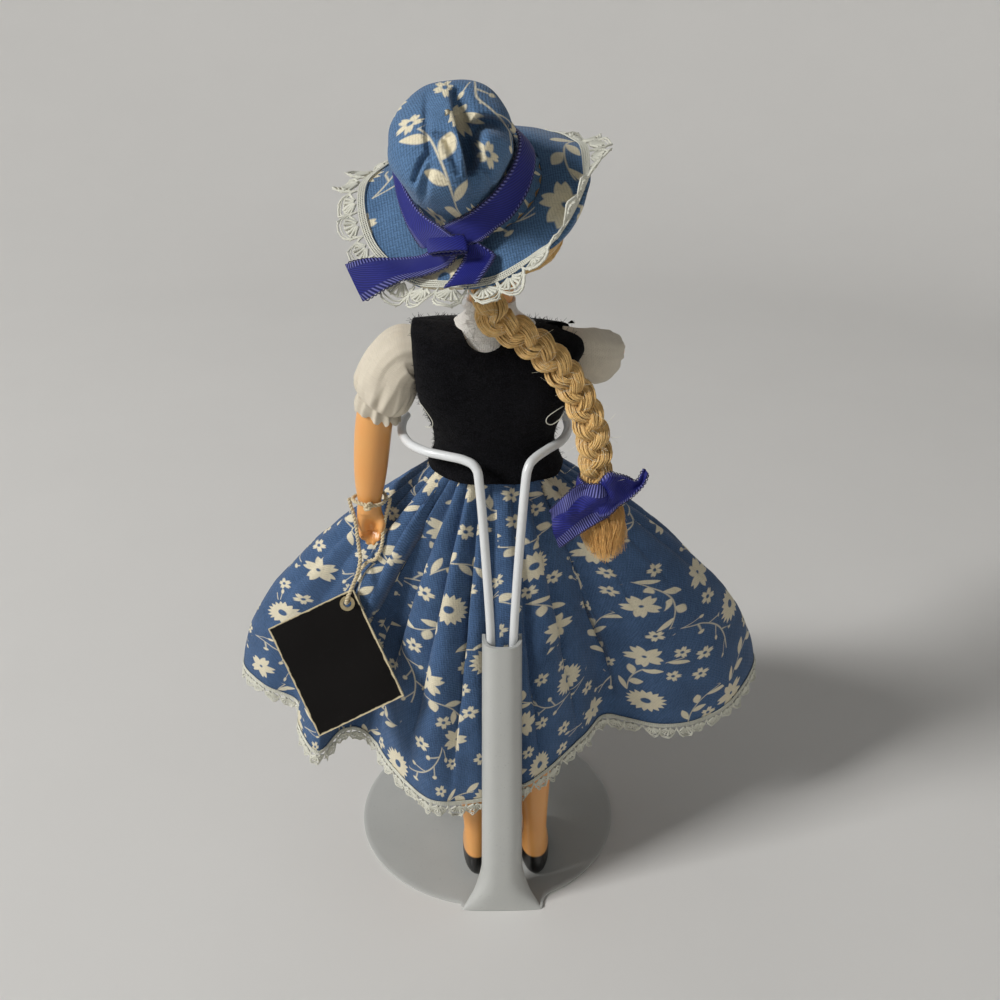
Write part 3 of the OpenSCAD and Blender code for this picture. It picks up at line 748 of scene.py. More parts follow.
@dataclass(frozen=True)
class Flesh(Finish):
    """Glossy moulded plastic of the arms and, where painted, of the figure."""

    painted: bool = False
    head: Triple = (2.46, 3.6, 175.5)
    shoe_top: float = 6.6
    constants = {"Coat Weight": 0.2, "Coat Roughness": 0.2}

    def paint(self, g: Graph) -> Feeds:
        """Even plastic, warmer in broad random patches, with the paint of face and shoes."""
        place = g.object_place()
        base = tone(self.colour)
        warm = (min(base[0] * 1.06, 1.0), base[1] * 0.84, base[2] * 0.7, 1.0)
        colour = g.blend(g.grain(place, 0.12, 3.0) * 1.2 - 0.2, base, warm)
        if self.painted:
            colour = self.face(g, place, colour)
            _, y, z = g.parts(place)
            heel = ((y - 18.0) * 0.12).apply("MAXIMUM", -0.8)
            shoe = z.under(heel + self.shoe_top, 0.25)
            colour = g.blend(shoe, colour, tone("#0c0b0b"))
        return {
            "Base Color": colour,
            "Roughness": g.grain(place, 0.5) * 0.12 + 0.3,
            "Normal": g.relief(g.grain(place, 2.2), 0.03, 0.3),
        }

    def face(self, g: Graph, place: object, colour: object) -> object:
        """Plain painted doll's face: cheeks, lips, brows, lashes and eyes, with a painted highlight in each
        eye.

        Args:
            g: graph of the material.
            place: place in the CAD frame.
            colour: colour under the paint.

        Returns:
            The painted colour.
        """
        x, y, z = g.parts(place)
        fx, fz = (x - self.head[0]).apply("ABSOLUTE"), z - self.head[2]
        front = y.under(self.head[1] + 6.5, 1.0)

        def oval(cx: float, cz: float, rx: float, rz: float) -> Wave:
            """Distance from an oval's middle, 1 at its edge."""
            a, b = (fx - cx) / rx, (fz - cz) / rz
            return (a * a + b * b).apply("SQRT")

        brow = oval(4.6, 2.2, 2.5, 2.0).under(1.0, 0.1) * oval(4.6, 1.75, 2.6, 2.0).over(1.0, 0.1)
        layers: list[tuple[Wave, str]] = [
            (oval(6.4, -5.2, 3.0, 2.4).under(0.5, 0.9) * 0.4, "#d9664a"),
            (oval(0.9, -8.2, 1.35, 0.62).under(1.0, 0.2), "#b5332c"),
            (oval(0.0, -8.9, 1.7, 0.7).under(1.0, 0.2), "#bd3a32"),
            (brow, "#6d4420"),
            (oval(4.6, -1.2, 2.35, 1.55).under(1.0, 0.1), "#2a1810"),
            (oval(4.6, -1.45, 2.15, 1.3).under(1.0, 0.1), "#f1ece2"),
            (oval(4.5, -1.3, 1.12, 1.22).under(1.0, 0.12), "#3f6b92"),
            (oval(4.5, -1.3, 0.55, 0.6).under(1.0, 0.2), "#0a0a0c"),
            # White dot in each eye: a painted highlight.
            (oval(4.8, -0.85, 0.26, 0.26).under(1.0, 0.3), "#ffffff"),
        ]
        for mask, paint in layers:
            colour = g.blend(mask * front, colour, tone(paint))
        return colour


@dataclass(frozen=True)
class Paper(Finish):
    """Plain pale sweep that the doll stands on."""

    constants = {"Roughness": 0.9, "Specular IOR Level": 0.2}

    def paint(self, g: Graph) -> Feeds:
        """Faint mottling."""
        mottle = g.grain(g.object_place(), 0.02, 4.0)
        return {"Base Color": g.blend(mottle, shade(self.colour, 0.965), tone(self.colour))}


class Looks:
    """Finishes of this object, by the piece that wears them."""

    STAND = Coating("stand_coating", "stand_coat", "#bcbdb9", 0.5)
    WIRE = Coating("wire_coating", "wire_coat", "#e2e4e4", 0.34)
    FIGURE = Flesh("figure_plastic", "skin_plastic", "#dda35e", painted=True)
    ARM = Flesh("arm_plastic", "skin_plastic", "#dda35e")
    HAIR_DARK = Hair("hair_dark", "hair", "#d9b26e")
    HAIR = Hair("hair_mid", "hair", "#f8e3ad")
    HAIR_LIGHT = Hair("hair_light", "hair", "#fff3cf")
    TUFT = Hair("hair_tuft", "hair", "#dcab60")
    RIBBON = Satin("ribbon_satin", "ribbon", "#272c8a")
    RIBBON_EDGE = Thread("ribbon_picot", "ribbon", "#15164e", 0.6)
    FELT = Felt("bodice_felt", "felt", "#020204")
    NAP = Thread("felt_fibre", "felt", "#17161d")
    BLOUSE = Cotton("blouse_cotton", "blouse_cloth", "#e9e6df", pitch=0.3, slub=0.25)
    FLUFF = Thread("blouse_fluff", "blouse_cloth", "#efece6")
    SLEEVE = Cotton("sleeve_cotton", "sleeve_cloth", "#d6ccb9", pitch=0.3, slub=0.25)
    SKIRT = Cotton("skirt_cotton", "skirt_print", "#2b4f78", motif="#e6dcc0", pitch=0.56)
    LINING = Cotton("skirt_reverse", "skirt_print", "#5f7f9f", motif="#8fa2ad")
    BONNET = Cotton("bonnet_cotton", "bonnet_print", "#41668c", motif="#eadfc0", pitch=0.62, scale=1.3)
    LACE = Thread("lace_thread", "lace", "#dddccd")
    CARD = Card("tag_card", "card_black", "#0f0d0c", 0.5, rubbed="#cdbf9c")
    PAGES = Card("tag_paper", "card_cream", "#e9dcba", 0.8)
    EYELET = BareMetal("tag_eyelet_metal", "eyelet_metal", "#dccaa0")
    CORD = Thread("tag_cord_flax", "cord", "#dccba6")
    PEG = BareMetal("peg_steel", "peg_metal", "#b9b9b9")
    ELASTIC = Thread("elastic_thread", "elastic", "#cbbf9f")
    FLOOR = Paper("pale_sweep", "", "#e0deda")


TAG = (
    Matrix.Translation((39.0, 28.5, 73.5))
    @ Matrix.Rotation(radians(28), 4, "X")
    @ Matrix.Rotation(radians(25), 4, "Y")
)
TAG_SIZE = (22.0, 28.0)


# Meshes and pieces


class Held(Enum):
    """How a piece of cloth is held."""

    GATHERED = "gathered"
    STRETCHED = "stretched"


@dataclass(frozen=True)
class Strand:
    """One fibre, thread or lock of hair."""

    points: Path
    radius: float
    shade: int = 0
    taper: float = 1.0


def skin(surface: Surface, nu: int, nv: int, flat: Flat | None = None, wrap: bool = False) -> Mesh:
    """Grid laid over a surface.

    Args:
        surface: place of each pair of shares from 0 to 1.
        nu: cells along the first share.
        nv: cells along the second one.
        flat: place on the flat cloth, in millimetres, of each pair of shares.
        wrap: whether the first share's ends meet.

    Returns:
        The grid, with a map in millimetres.
    """
    bm = bmesh.new()
    uv = bm.loops.layers.uv.new("UVMap")
    bmesh.ops.create_grid(bm, x_segments=nu, y_segments=nv, size=0.5)
    for face in bm.faces:
        for loop in face.loops:
            u, v = loop.vert.co.x + 0.5, loop.vert.co.y + 0.5
            loop[uv].uv = flat(u, v) if flat else (u, v)
    for vert in bm.verts:
        vert.co = surface(vert.co.x + 0.5, vert.co.y + 0.5)
    if wrap:
        bmesh.ops.remove_doubles(bm, verts=bm.verts, dist=1e-4)
    return bm


def rectangle(size: Pair) -> Flat:
    """Flat cloth that is a rectangle of a size."""
    return lambda u, v: (u * size[0], v * size[1])


def turned_out(bm: Mesh) -> Mesh:
    """Turn a mesh's faces outwards."""
    bmesh.ops.recalc_face_normals(bm, faces=bm.faces)
    return bm


def filled(bm: Mesh, where: Test = lambda place: True) -> Mesh:
    """Fill the open ends of a mesh that lie where the test says."""
    bmesh.ops.holes_fill(bm, edges=[e for e in bm.edges if e.is_boundary and where(e.verts[0].co)])
    return bm


def baked(name: str, bm: Mesh) -> bpy.types.Mesh:
    """Blender's mesh of a mesh that is used up."""
    mesh = bpy.data.meshes.new(name)
    bm.to_mesh(mesh)
    bm.free()
    return mesh


def linked(name: str, data: bpy.types.ID) -> Item:
    """New object in the scene."""
    obj = bpy.data.objects.new(name, data)
    bpy.context.scene.collection.objects.link(obj)
    return obj


def evaluated(obj: Item) -> bpy.types.Mesh:
    """New mesh of an object, with its modifiers or its curve's round section."""
    return bpy.data.meshes.new_from_object(obj.evaluated_get(bpy.context.evaluated_depsgraph_get()))


def together(*parts: Mesh) -> Mesh:
    """Put several meshes into the first one."""
    for other in parts[1:]:
        mesh = baked("part", other)
        parts[0].from_mesh(mesh)
        bpy.data.meshes.remove(mesh)
    return parts[0]


def loft(ring: Surface, sides: int, rows: int) -> Mesh:
    """Closed skin through rings, with both ends filled.

    Args:
        ring: place for an angle and a share along the form.
        sides: points in a ring.
        rows: rings.

    Returns:
        The closed form with outward normals.
    """
    return turned_out(filled(skin(lambda u, v: ring(u * tau, v), sides, rows, wrap=True)))


def tube(path: Path, radius: Callable[[float], Pair], sides: int, side: Point) -> Mesh:
    """Closed tube along a path.

    Args:
        path: points of the centre line.
        radius: reach along the side and across it, for a share of the path.
        sides: points in a ring.
        side: direction that the first ring's side leans to.

    Returns:
        The closed tube.
    """
    carried = frames(path, side)

    def ring(angle: float, share: float) -> Vector:
        """Place for an angle and a share of the path."""
        i = min(round(share * (len(path) - 1)), len(path) - 1)
        _, u, w = carried[i]
        a, b = radius(share)
        return path[i] + u * (a * cos(angle)) + w * (b * sin(angle))

    return loft(ring, sides, len(path) - 1)


def through(bm: Mesh, kind: str, **settings: object) -> Mesh:
    """Run a mesh through one modifier.

    Args:
        bm: the mesh, which is used up.
        kind: the modifier's type.
        settings: its settings.

    Returns:
        The changed mesh.
    """
    mesh = baked("work", bm)
    work = linked("work", mesh)
    modifier = work.modifiers.new("step", kind)
    for name, value in settings.items():
        setattr(modifier, name, value)
    done = evaluated(work)
    made = bmesh.new()
    made.from_mesh(done)
    bpy.data.objects.remove(work)
    bpy.data.meshes.remove(mesh)
    bpy.data.meshes.remove(done)
    return made


def cut(bm: Mesh, *tools: Mesh) -> Mesh:
    """Take closed tools away from a closed form."""
    for tool in tools:
        mesh = baked("tool", tool)
        cutter = linked("tool", mesh)
        bm = through(bm, "BOOLEAN", operation="DIFFERENCE", solver="EXACT", use_self=True, object=cutter)
        bpy.data.objects.remove(cutter)
        bpy.data.meshes.remove(mesh)
    return bm


def shown(
    name: str, mesh: bpy.types.Mesh, finishes: Sequence[Finish], body: str, hides: Sequence[str]
) -> Item:
    """Hand a mesh in metres to the frame as a piece.

    Args:
        name: the piece's name.
        mesh: its mesh.
        finishes: its finishes, given to the mesh as its materials in order.
        body: the CAD body that it rides on.
        hides: the CAD nodes that it stands for.

    Returns:
        The piece.
    """
    mesh.name = name
    mesh.materials.clear()
    for finish in finishes:
        mesh.materials.append(finish.material())
    obj = linked(name, mesh)
    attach(obj, body)
    if hides:
        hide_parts(*hides)
    log.info("%s: %d faces on %s", name, len(mesh.polygons), body)
    return obj


def piece(
    name: str,
    bm: Mesh,
    finish: Finish,
    body: str,
    hides: Sequence[str] = (),
    thick: float = 0.0,
    lining: Finish | None = None,
    crease: float = 50.0,
) -> Item:
    """Turn a mesh in millimetres into a piece.

    Args:
        name: the piece's name.
        bm: its mesh, which is used up.
        finish: its finish.
        body: the CAD body that it rides on.
        hides: the CAD nodes that it stands for.
        thick: thickness to give a sheet, towards its inner side.
        lining: finish of a sheet's inner side.
        crease: angle in degrees above which an edge is sharp.

    Returns:
        The piece.
    """
    if thick:
        bm = through(bm, "SOLIDIFY", thickness=thick, offset=-1.0, material_offset=1 if lining else 0)
    bmesh.ops.scale(bm, vec=(MM, MM, MM), verts=bm.verts)
    mesh = baked(name, bm)
    mesh.shade_smooth()
    mesh.set_sharp_from_angle(angle=radians(crease))
    return shown(name, mesh, [finish, lining] if lining else [finish], body, hides)


def strands(
    name: str,
    lines: Iterable[Strand],
    finishes: Sequence[Finish],
    body: str,
    hides: Sequence[str] = (),
    rounding: int = 0,
) -> Item:
    """Many fibres as one piece.

    Args:
        name: the piece's name.
        lines: the fibres, whose shade picks a finish.
        finishes: the finishes.
        body: the CAD body that the piece rides on.
        hides: the CAD nodes that it stands for.
        rounding: steps that round the fibres' section.

    Returns:
        The piece.
    """
    curve = bpy.data.curves.new(name, "CURVE")
    curve.dimensions = "3D"
    curve.bevel_depth = MM
    curve.bevel_resolution = rounding
    curve.use_fill_caps = True
    for line in lines:
        count = len(line.points)
        spline = curve.splines.new("POLY")
        spline.points.add(count - 1)
        spline.material_index = line.shade
        for i, (point, place) in enumerate(zip(spline.points, line.points)):
            point.co = (*(place * MM), 1.0)
            point.radius = line.radius * mix(1.0, line.taper, i / (count - 1))
    for finish in finishes:
        curve.materials.append(finish.material())
    work = linked("work", curve)
    mesh = evaluated(work)
    bpy.data.objects.remove(work)
    bpy.data.curves.remove(curve)
    mesh.shade_smooth()
    return shown(name, mesh, finishes, body, hides)


def cloth(obj: Item, held: Held, fullness: float = 1.0) -> None:
    """Log the flat size of a piece of cloth, from its own faces.

    Args:
        obj: the piece, whose map is the flat cloth in millimetres.
        held: how it is held; not used.
        fullness: share of the flat cut's box that the cut fills, at most 1.
    """
    layer = obj.data.uv_layers["UVMap"].data
    us, vs = [d.uv[0] for d in layer], [d.uv[1] for d in layer]
    width, length = (max(us) - min(us)) * MM, (max(vs) - min(vs)) * MM
    log.info("%s: cut from %.0f x %.0f mm", obj.name, width / MM, length / MM)
    width * length * fullness


def fuzz(
    bm: Mesh, count: int, long: Pair, radius: float, dice: Random, where: Test = lambda place: True
) -> list[Strand]:
    """Short fibres that stand off a mesh.

    Args:
        bm: the mesh.
        count: fibres.
        long: shortest and longest fibre.
        radius: a fibre's radius.
        dice: source of chance.
        where: test of the places that grow fibres.

    Returns:
        The fibres.
    """
    bm.normal_update()
    faces = [f for f in bm.faces if where(f.calc_center_median())]
    areas = [f.calc_area() for f in faces]
    made = []
    for face in dice.choices(faces, areas, k=count):
        corners = [v.co for v in face.verts]
        weights = [dice.random() for _ in corners]
        root = sum((c * w for c, w in zip(corners, weights)), Vector()) / sum(weights)
        lean = Vector([dice.uniform(-1, 1) for _ in range(3)])
        way = (face.normal * dice.uniform(0.15, 0.7) + lean * 0.8).normalized()
        reach = dice.uniform(*long)
        curl = Vector([dice.uniform(-1, 1) for _ in range(3)]) * reach * 0.3
        points = [root, root + way * reach * 0.5 + curl * 0.4, root + way * reach + curl]
        made.append(Strand(points, radius, dice.randrange(2), 0.4))
    return made


def placed(bm: Mesh, matrix: Matrix) -> Mesh:
    """Move a mesh by a matrix, keeping its faces outward when it mirrors."""
    bmesh.ops.transform(bm, matrix=matrix, verts=bm.verts)
    if matrix.determinant() < 0:
        bmesh.ops.reverse_faces(bm, faces=bm.faces)
    return bm


def dress(nodes: dict[str, Item], name: str, finish: Finish) -> Item:
    """Give a CAD node that stays in sight its finish."""
    node = nodes[name]
    node.data.materials.clear()
    node.data.materials.append(finish.material())
    return node


# Forms shared by several pieces


@dataclass(frozen=True)
class BodyForm:
    """Outer form of the moulded body that the clothes are cut to."""

    middle_y: float = 18.0
    lean_from: float = -1.4
    lean_by: float = 0.022
    rows: Points = (
        (84, 8, 6.6, 0.8), (90, 13.2, 8.6, 1), (98, 14, 8.8, 1), (108, 12.8, 8.4, 0.6), (117, 10.9, 8, 0),
        (126, 11, 8, 0), (133, 12, 8.7, 0.6), (140, 13.4, 9.6, 1), (147, 15.2, 8.8, 0.6), (151, 13.6, 7, 0),
        (153.6, 8.4, 5.6, 0), (156, 5, 4.8, 0), (160, 4.7, 4.8, 0.4), (162, 6, 7, 3), (165, 9.2, 9.6, 2.4),
        (169.5, 11.8, 12.4, 1.2), (175.5, 13.4, 13.6, 1), (181, 12.6, 12.8, 1), (185.5, 9.8, 10, 1),
        (188.4, 6, 6.4, 1), (189.6, 2, 2.2, 1),
    )

    def lean(self, z: float) -> float:
        """Sideways place of the body's middle line."""
        return self.lean_from + self.lean_by * z

    def at(self, z: float, angle: float, grow: float = 0.0) -> Vector:
        """Place on a ring round the body, where angle 0 is the back and a quarter turn the left."""
        _, wide, deep, ahead = table_row(self.rows, z)
        power = mix(2.2, 2.0, ease(152, 157, z))
        return Vector((
            self.lean(z) + (wide + grow) * bent(sin(angle), power),
            self.middle_y - ahead + (deep + grow) * bent(cos(angle), power),
            z,
        ))


BODY = BodyForm()
LEFT_ARM = Matrix.Translation((17.834, 18.0, 147.0))
RIGHT_ARM = (
    Matrix.Translation((-14.166, 18.0, 147.0))
    @ Matrix.Rotation(radians(-70), 4, "X")
    @ Matrix.Diagonal((-1.0, 1.0, 1.0, 1.0))
)
ARMS = {"left": LEFT_ARM, "right": RIGHT_ARM}
HEAD = Vector((2.461, 17.0, 175.5))
HAT_LEAN, HAT_TIP, HAT_RISE = radians(14), radians(40), 11.9
HAT_WAY = Vector((sin(HAT_LEAN) * cos(HAT_TIP), sin(HAT_TIP), cos(HAT_LEAN) * cos(HAT_TIP)))
HAT = (
    Matrix.Translation(HEAD + HAT_WAY * HAT_RISE)
    @ Matrix.Rotation(HAT_LEAN, 4, "Y")
    @ Matrix.Rotation(-HAT_TIP, 4, "X")
)


@dataclass
class Ribbon:
    """Strip of satin ribbon between two edge lines, with picot loops on both edges."""

    left: Sequence[Point]
    right: Sequence[Point]
    cells: int = 48
    thick: float = 0.32
    cup: float = 0.25
    crumple: float = 0.0
    picot_gap: float = 0.85
    picot_reach: float = 0.34

    def strip(self) -> tuple[Mesh, list[Strand]]:
        """Make the strip.

        Returns:
            The open sheet, and the loops on its edges.
        """
        a, b = (Spline(edge).sampled(self.cells + 1) for edge in (self.left, self.right))
        middle = [(p + q) / 2 for p, q in zip(a, b)]
        normals = []
        for i in range(self.cells + 1):
            along = middle[min(i + 1, self.cells)] - middle[max(i - 1, 0)]
            normals.append(along.cross(b[i] - a[i]).normalized())
        long = distances(middle)[-1]
        wide = sum((q - p).length for p, q in zip(a, b)) / len(a)

        def surface(u: float, v: float) -> Vector:
            """Place for a pair of shares."""
            i = min(round(u * self.cells), self.cells)
            bulge = self.cup * (1 - (2 * v - 1) ** 2)
            place = a[i].lerp(b[i], v)
            bulge += self.crumple * ripple(place, 0.3) * ease(0.0, 0.3, 1 - abs(2 * v - 1))
            return place + normals[i] * bulge

        bm = skin(surface, self.cells, 8, lambda u, v: (u * long, (v - 0.5) * wide))
        return bm, self.picots(a, b) + self.picots(b, a)

    def picots(self, edge: Path, far: Path) -> list[Strand]:
        """Small loops along one edge, standing away from the other edge."""
        steps = evenly(edge, self.picot_gap / 4)
        made = []
        for i in range(0, len(steps) - 4, 4):
            share = i / max(len(steps) - 1, 1)
            out = (steps[i + 2] - far[round(share * (len(far) - 1))]).normalized() * self.picot_reach
            points = [steps[i + k] + out * height for k, height in enumerate((0.0, 0.8, 1.0, 0.8, 0.0))]
            made.append(Strand(points, 0.12))
        return made


def moved(start: Vector, *steps: Point) -> list[Vector]:
    """Places at steps from a start."""
    return [start + Vector(step) for step in steps]


def ribbons(name: str, parts: Sequence[Ribbon], hides: Sequence[str]) -> None:
    """Make one piece of several ribbon strips on the doll, with their picot edges as another one."""
    sheets, loops = [], []
    for part in parts:
        bm, edge = part.strip()
        sheets.append(through(bm, "SOLIDIFY", thickness=part.thick, offset=0.0))
        loops += edge
    piece(name, together(*sheets), Looks.RIBBON, "doll", hides)
    strands(f"{name}_picots", loops, [Looks.RIBBON_EDGE], "doll")


@dataclass
class Lace:
    """Strip of thread lace laid along a rail: a ladder heading, rings and a scalloped edge."""

    rail: Path
    drop: Path
    off: Path
    pitch: float
    depth: float
    thread: float = 0.17
    bars: int = 9

    def motif(self) -> list[tuple[list[Point], float]]:
        """Threads of one scallop: places along and across the strip, and a share of the thread's radius."""
        p, d = self.pitch, self.depth
        lines: list[tuple[list[Point], float]] = []
        for row in (-0.16, -0.08, 0.0, 0.08):
            lines.append(([(p * i / 4, row * d) for i in range(5)], 0.75))
        for i in range(self.bars):
            x = p * (i + 0.3) / self.bars
            lines.append(([(x, -0.16 * d), (x, 0.1 * d)], 0.6))
        spokes = [pi * (k + 0.5) / 7 for k in range(7)]
        for turn in spokes:
            wide, long = 0.4 * p * cos(turn), (0.2 + 0.4 * sin(turn)) * d
            lines.append(([(p / 2 + wide * f, 0.14 * d + long * f) for f in (0.2, 0.6, 1.0)], 1.8))

        def scallop(turn: float, reach: float) -> Pair:
            """Place on an arc that hangs from the heading."""
            return p * (0.5 - 0.5 * cos(turn)), mix(0.14 * d, reach * d, sin(turn))

        for reach, size in ((1.0, 1.15), (0.88, 0.8), (0.7, 1.0)):
            lines.append(([scallop(pi * i / 10, reach) for i in range(11)], size))
        for turn in spokes:
            ex, ey = scallop(turn, 0.96)
            ox, oy = -cos(turn) * 0.26, sin(turn) * 0.26
            lines.append(([(ex - oy, ey + ox), (ex + ox * 1.6, ey + oy * 1.6), (ex + oy, ey - ox)], 0.7))
        return lines

    def threads(self) -> list[Strand]:
        """The lace's threads, following the rail."""
        gone = distances(self.rail)
        count = max(1, round(gone[-1] / self.pitch))
        stretch = gone[-1] / (count * self.pitch)
        lines, made, last = self.motif(), [], 0

        def put(along: float, across: float) -> Vector:
            """Place of a point of the flat lace."""
            nonlocal last
            along = min(max(along, 0.0), gone[-1])
            while last < len(gone) - 2 and gone[last + 1] < along:
                last += 1
            while last > 0 and gone[last] > along:
                last -= 1
            s = (along - gone[last]) / max(gone[last + 1] - gone[last], 1e-6)
            share = max(across, 0.0) / self.depth
            guides = (self.rail, self.drop, self.off)
            edge, down, out = (guide[last].lerp(guide[last + 1], s) for guide in guides)
            return edge + down * across + out * (share * share)

        dice = Random(count)
        for k in range(count):
            lean, deep = dice.uniform(-0.3, 0.3), dice.uniform(0.8, 1.1)
            for shape, size in lines:
                points = []
                for x, y in shape:
                    slack = 0.35 * ease(0.1, 0.6, y / self.depth) * ripple((k * 9 + x, y, 4), 0.7)
                    far = y * deep if y > 0 else y
                    along = (k * self.pitch + x + lean * max(y, 0.0) + slack) * stretch
                    points.append(put(along, far + slack))
                made.append(Strand(points, self.thread * size))
        return made


# Sub-assemblies


@dataclass
class DisplayStand:
    """Pressed disc with its rolled post, and the sprung wire that holds the waist."""

    disc_x: float = 3.5
    disc_radius: float = 35.5
    sheet: float = 0.8
    post_back: float = 37.2
    post_depth: float = 6.0
    post_height: float = 83.0
    root_width: float = 10.6
    top_width: float = 9.2
    foot_width: float = 21.0
    flare: float = 7.0
    wire_radius: float = 1.0
    foot: Points = (
        (0.1, 1, 0.16), (0.9, 0.84, 0.24), (2.2, 0.66, 0.38), (4.2, 0.4, 0.56), (7, 0.17, 0.8), (11, 0, 1),
        (14, 0, 1),
    )
    right_arm: Points = (
        (-14.6, 7, 128), (-15, 12, 128), (-14.9, 17, 128), (-13.2, 22.6, 128), (-9.8, 27.2, 128),
        (-7, 30.6, 127.6), (-5.5, 32.6, 126.4),
    )
    leg: Points = (
        (-4.8, 33.5, 122), (-3.6, 33.5, 104), (-2.6, 33.5, 83), (-2.6, 33.5, 65), (-2.6, 33.5, 50),
        (-1.6, 33.5, 47.4),
    )
    left_arm: Points = (
        (5.6, 32.8, 126.4), (8, 31.6, 127.7), (12, 30, 128), (16.2, 27.8, 128), (19.9, 23.8, 128),
        (21.9, 18, 128), (22.1, 12, 128), (21.4, 8, 128),
    )

    def build(self) -> None:
        """Make the disc with its post, and the wire."""
        base = together(self.plate(), self.post())
        piece("display_stand", base, Looks.STAND, "stand", ["stand_base"], crease=40)
        back = [(-x, y, z) for x, y, z in reversed(self.leg)]
        route = Spline((*self.right_arm, *self.leg, *back, *self.left_arm)).sampled(420)
        end = 2.5 / len(route)

        def radius(share: float) -> Pair:
            """Reach of the wire, less at its cut ends."""
            r = self.wire_radius * (0.72 if min(share, 1 - share) < end else 1.0)
            return r, r

        piece("waist_wire", tube(route, radius, 16, (0, 0, 1)), Looks.WIRE, "clasp", ["stand_wire"])

    def reach(self, angle: float) -> float:
        """Distance from the disc's middle to the plate's edge, with the tongue that turns into the post."""
        x, y = cos(angle), sin(angle)
        root = self.post_back - self.sheet
        low = root - self.flare
        best = self.disc_radius
        for i in range(140):
            far = self.disc_radius - 2 + i * 0.06
            px, py = abs(self.disc_x + x * far), y * far
            if py > root or py < low:
                continue
            side = sqrt(max(1 - (1 - (py - low) / self.flare) ** 2, 0.0))
            if px <= self.foot_width / 2 + self.flare * (1 - side):
                best = max(best, far)
        return best

    def plate(self) -> Mesh:
        """The disc and its tongue."""
        sides = 240
        rim = [self.reach(angle) for angle in turns(sides)]
        profile = (
            (0.02, 0.0), (0.5, 0.0), (0.985, 0.0), (1.0, 0.18), (1.0, 0.62), (0.985, 0.8), (0.96, 0.8),
            (0.5, 0.8), (0.02, 0.8),
        )

        def surface(u: float, v: float) -> Vector:
            """Place for a pair of shares."""
            share, z = profile[round(v * (len(profile) - 1))]
            far = rim[round(u * sides)] * share
            return Vector((self.disc_x + far * cos(u * tau), far * sin(u * tau), z * self.sheet / 0.8))

        return turned_out(filled(skin(surface, sides, len(profile) - 1, wrap=True)))

    def post(self) -> Mesh:
        """The rolled channel, open towards the doll."""

        def surface(u: float, v: float) -> Vector:
            """Place for a pair of shares."""
            z = self.foot[0][0] + (self.post_height - self.foot[0][0]) * v**1.6
            _, wide, deep = table_row(self.foot, min(z, 11.0))
            width = mix(self.root_width, self.top_width, z / self.post_height)
            width = mix(width, self.foot_width, max(wide, 0.0))
            depth = self.post_depth * min(deep, 1.0)
            turn = pi * u
            return Vector((
                -width / 2 * bent(cos(turn), 3.0),
                self.post_back - depth + depth * bent(sin(turn), 3.0),
                z,
            ))

        bm = skin(surface, 64, 70)
        bm = through(bm, "SOLIDIFY", thickness=self.sheet, offset=1.0)
        for vert in bm.verts:
            vert.co.z = max(vert.co.z, 0.0)
        return bm


@dataclass
class Figure:
    """Moulded head, trunk, legs and painted shoes."""

    sole: float = 1.0
    spread: float = 7.8
    voxel: float = 0.5
    leg_rows: Points = (
        (0, 3.4, 9.6, -2, 1), (1.5, 3.9, 10.4, -2, 1), (4, 3.9, 10.2, -1.8, 1), (6.5, 3.7, 8, 0, 1),
        (9, 3.4, 5.6, 2.2, 1), (12, 3.2, 3.8, 3.8, 1), (16, 3.2, 3.4, 4, 1), (26, 4, 4.4, 3.6, 0.98),
        (37, 4.9, 5.2, 2.6, 0.95), (50, 4.6, 4.9, 1, 0.92), (66, 5.8, 6.2, 0.4, 0.9),
        (80, 6.6, 7.6, 0, 0.86), (89, 6.2, 7.4, 0, 0.8),
    )

    def build(self, nodes: dict[str, Item]) -> None:
        """Make the figure, and finish the fittings inside it."""
        low, high = BODY.rows[0][0], BODY.rows[-1][0]
        trunk = loft(lambda a, v: BODY.at(mix(low, high, v), a), 72, 150)
        form = together(trunk, self.leg(1), self.leg(-1))
        form = through(form, "REMESH", mode="VOXEL", voxel_size=self.voxel)
        form = through(form, "SMOOTH", factor=0.5, iterations=9)
        for vert in form.verts:
            self.model_face(vert)
        piece("figure", form, Looks.FIGURE, "doll", ["doll_body"], crease=180)
        dress(nodes, "arm_elastic", Looks.ELASTIC)
        for side in ARMS:
            dress(nodes, f"{side}_arm_peg", Looks.PEG)

    def leg(self, side: int) -> Mesh:
        """One leg with its shoe, on the left for side 1 and the right for side -1."""
        top = self.leg_rows[-1][0]

        def ring(angle: float, share: float) -> Vector:
            """Place for an angle and a share of the leg."""
            z = top * share
            _, wide, deep, back, part = table_row(self.leg_rows, z)
            return Vector((
                BODY.lean(z) + side * self.spread * part + wide * bent(sin(angle), 2.2),
                BODY.middle_y + back + deep * bent(cos(angle), 2.2),
                z + self.sole,
            ))

        return loft(ring, 48, 110)

    def model_face(self, vert: bmesh.types.BMVert) -> None:
        """Raise nose, lips, cheeks and chin, and sink the eyes, on the front of the head."""
        x, z = vert.co.x - HEAD.x, vert.co.z - HEAD.z
        if vert.co.y > 12 or z < -14:
            return
        front = 1 - ease(7.0, 12.0, vert.co.y)
        nose = 1.7 * bell(x, 1.3) * bell(z + 4.4, 1.5) + 0.6 * bell(x, 1.1) * bell(z + 1.6, 2.4)
        lips = 0.55 * bell(x, 2.2) * (bell(z + 8.1, 0.6) + bell(z + 9.1, 0.65))
        chin = 0.8 * bell(x, 2.8) * bell(z + 12.0, 2.0)
        cheeks = 0.5 * bell(abs(x) - 6.2, 2.8) * bell(z + 5.4, 2.8)
        eye = abs(x) - 4.6
        eyes = -0.5 * bell(eye, 2.3) * bell(z + 1.2, 1.7) + 0.25 * bell(eye, 1.5) * bell(z + 1.3, 1.0)
        vert.co.y -= front * (nose + lips + chin + cheeks + eyes)


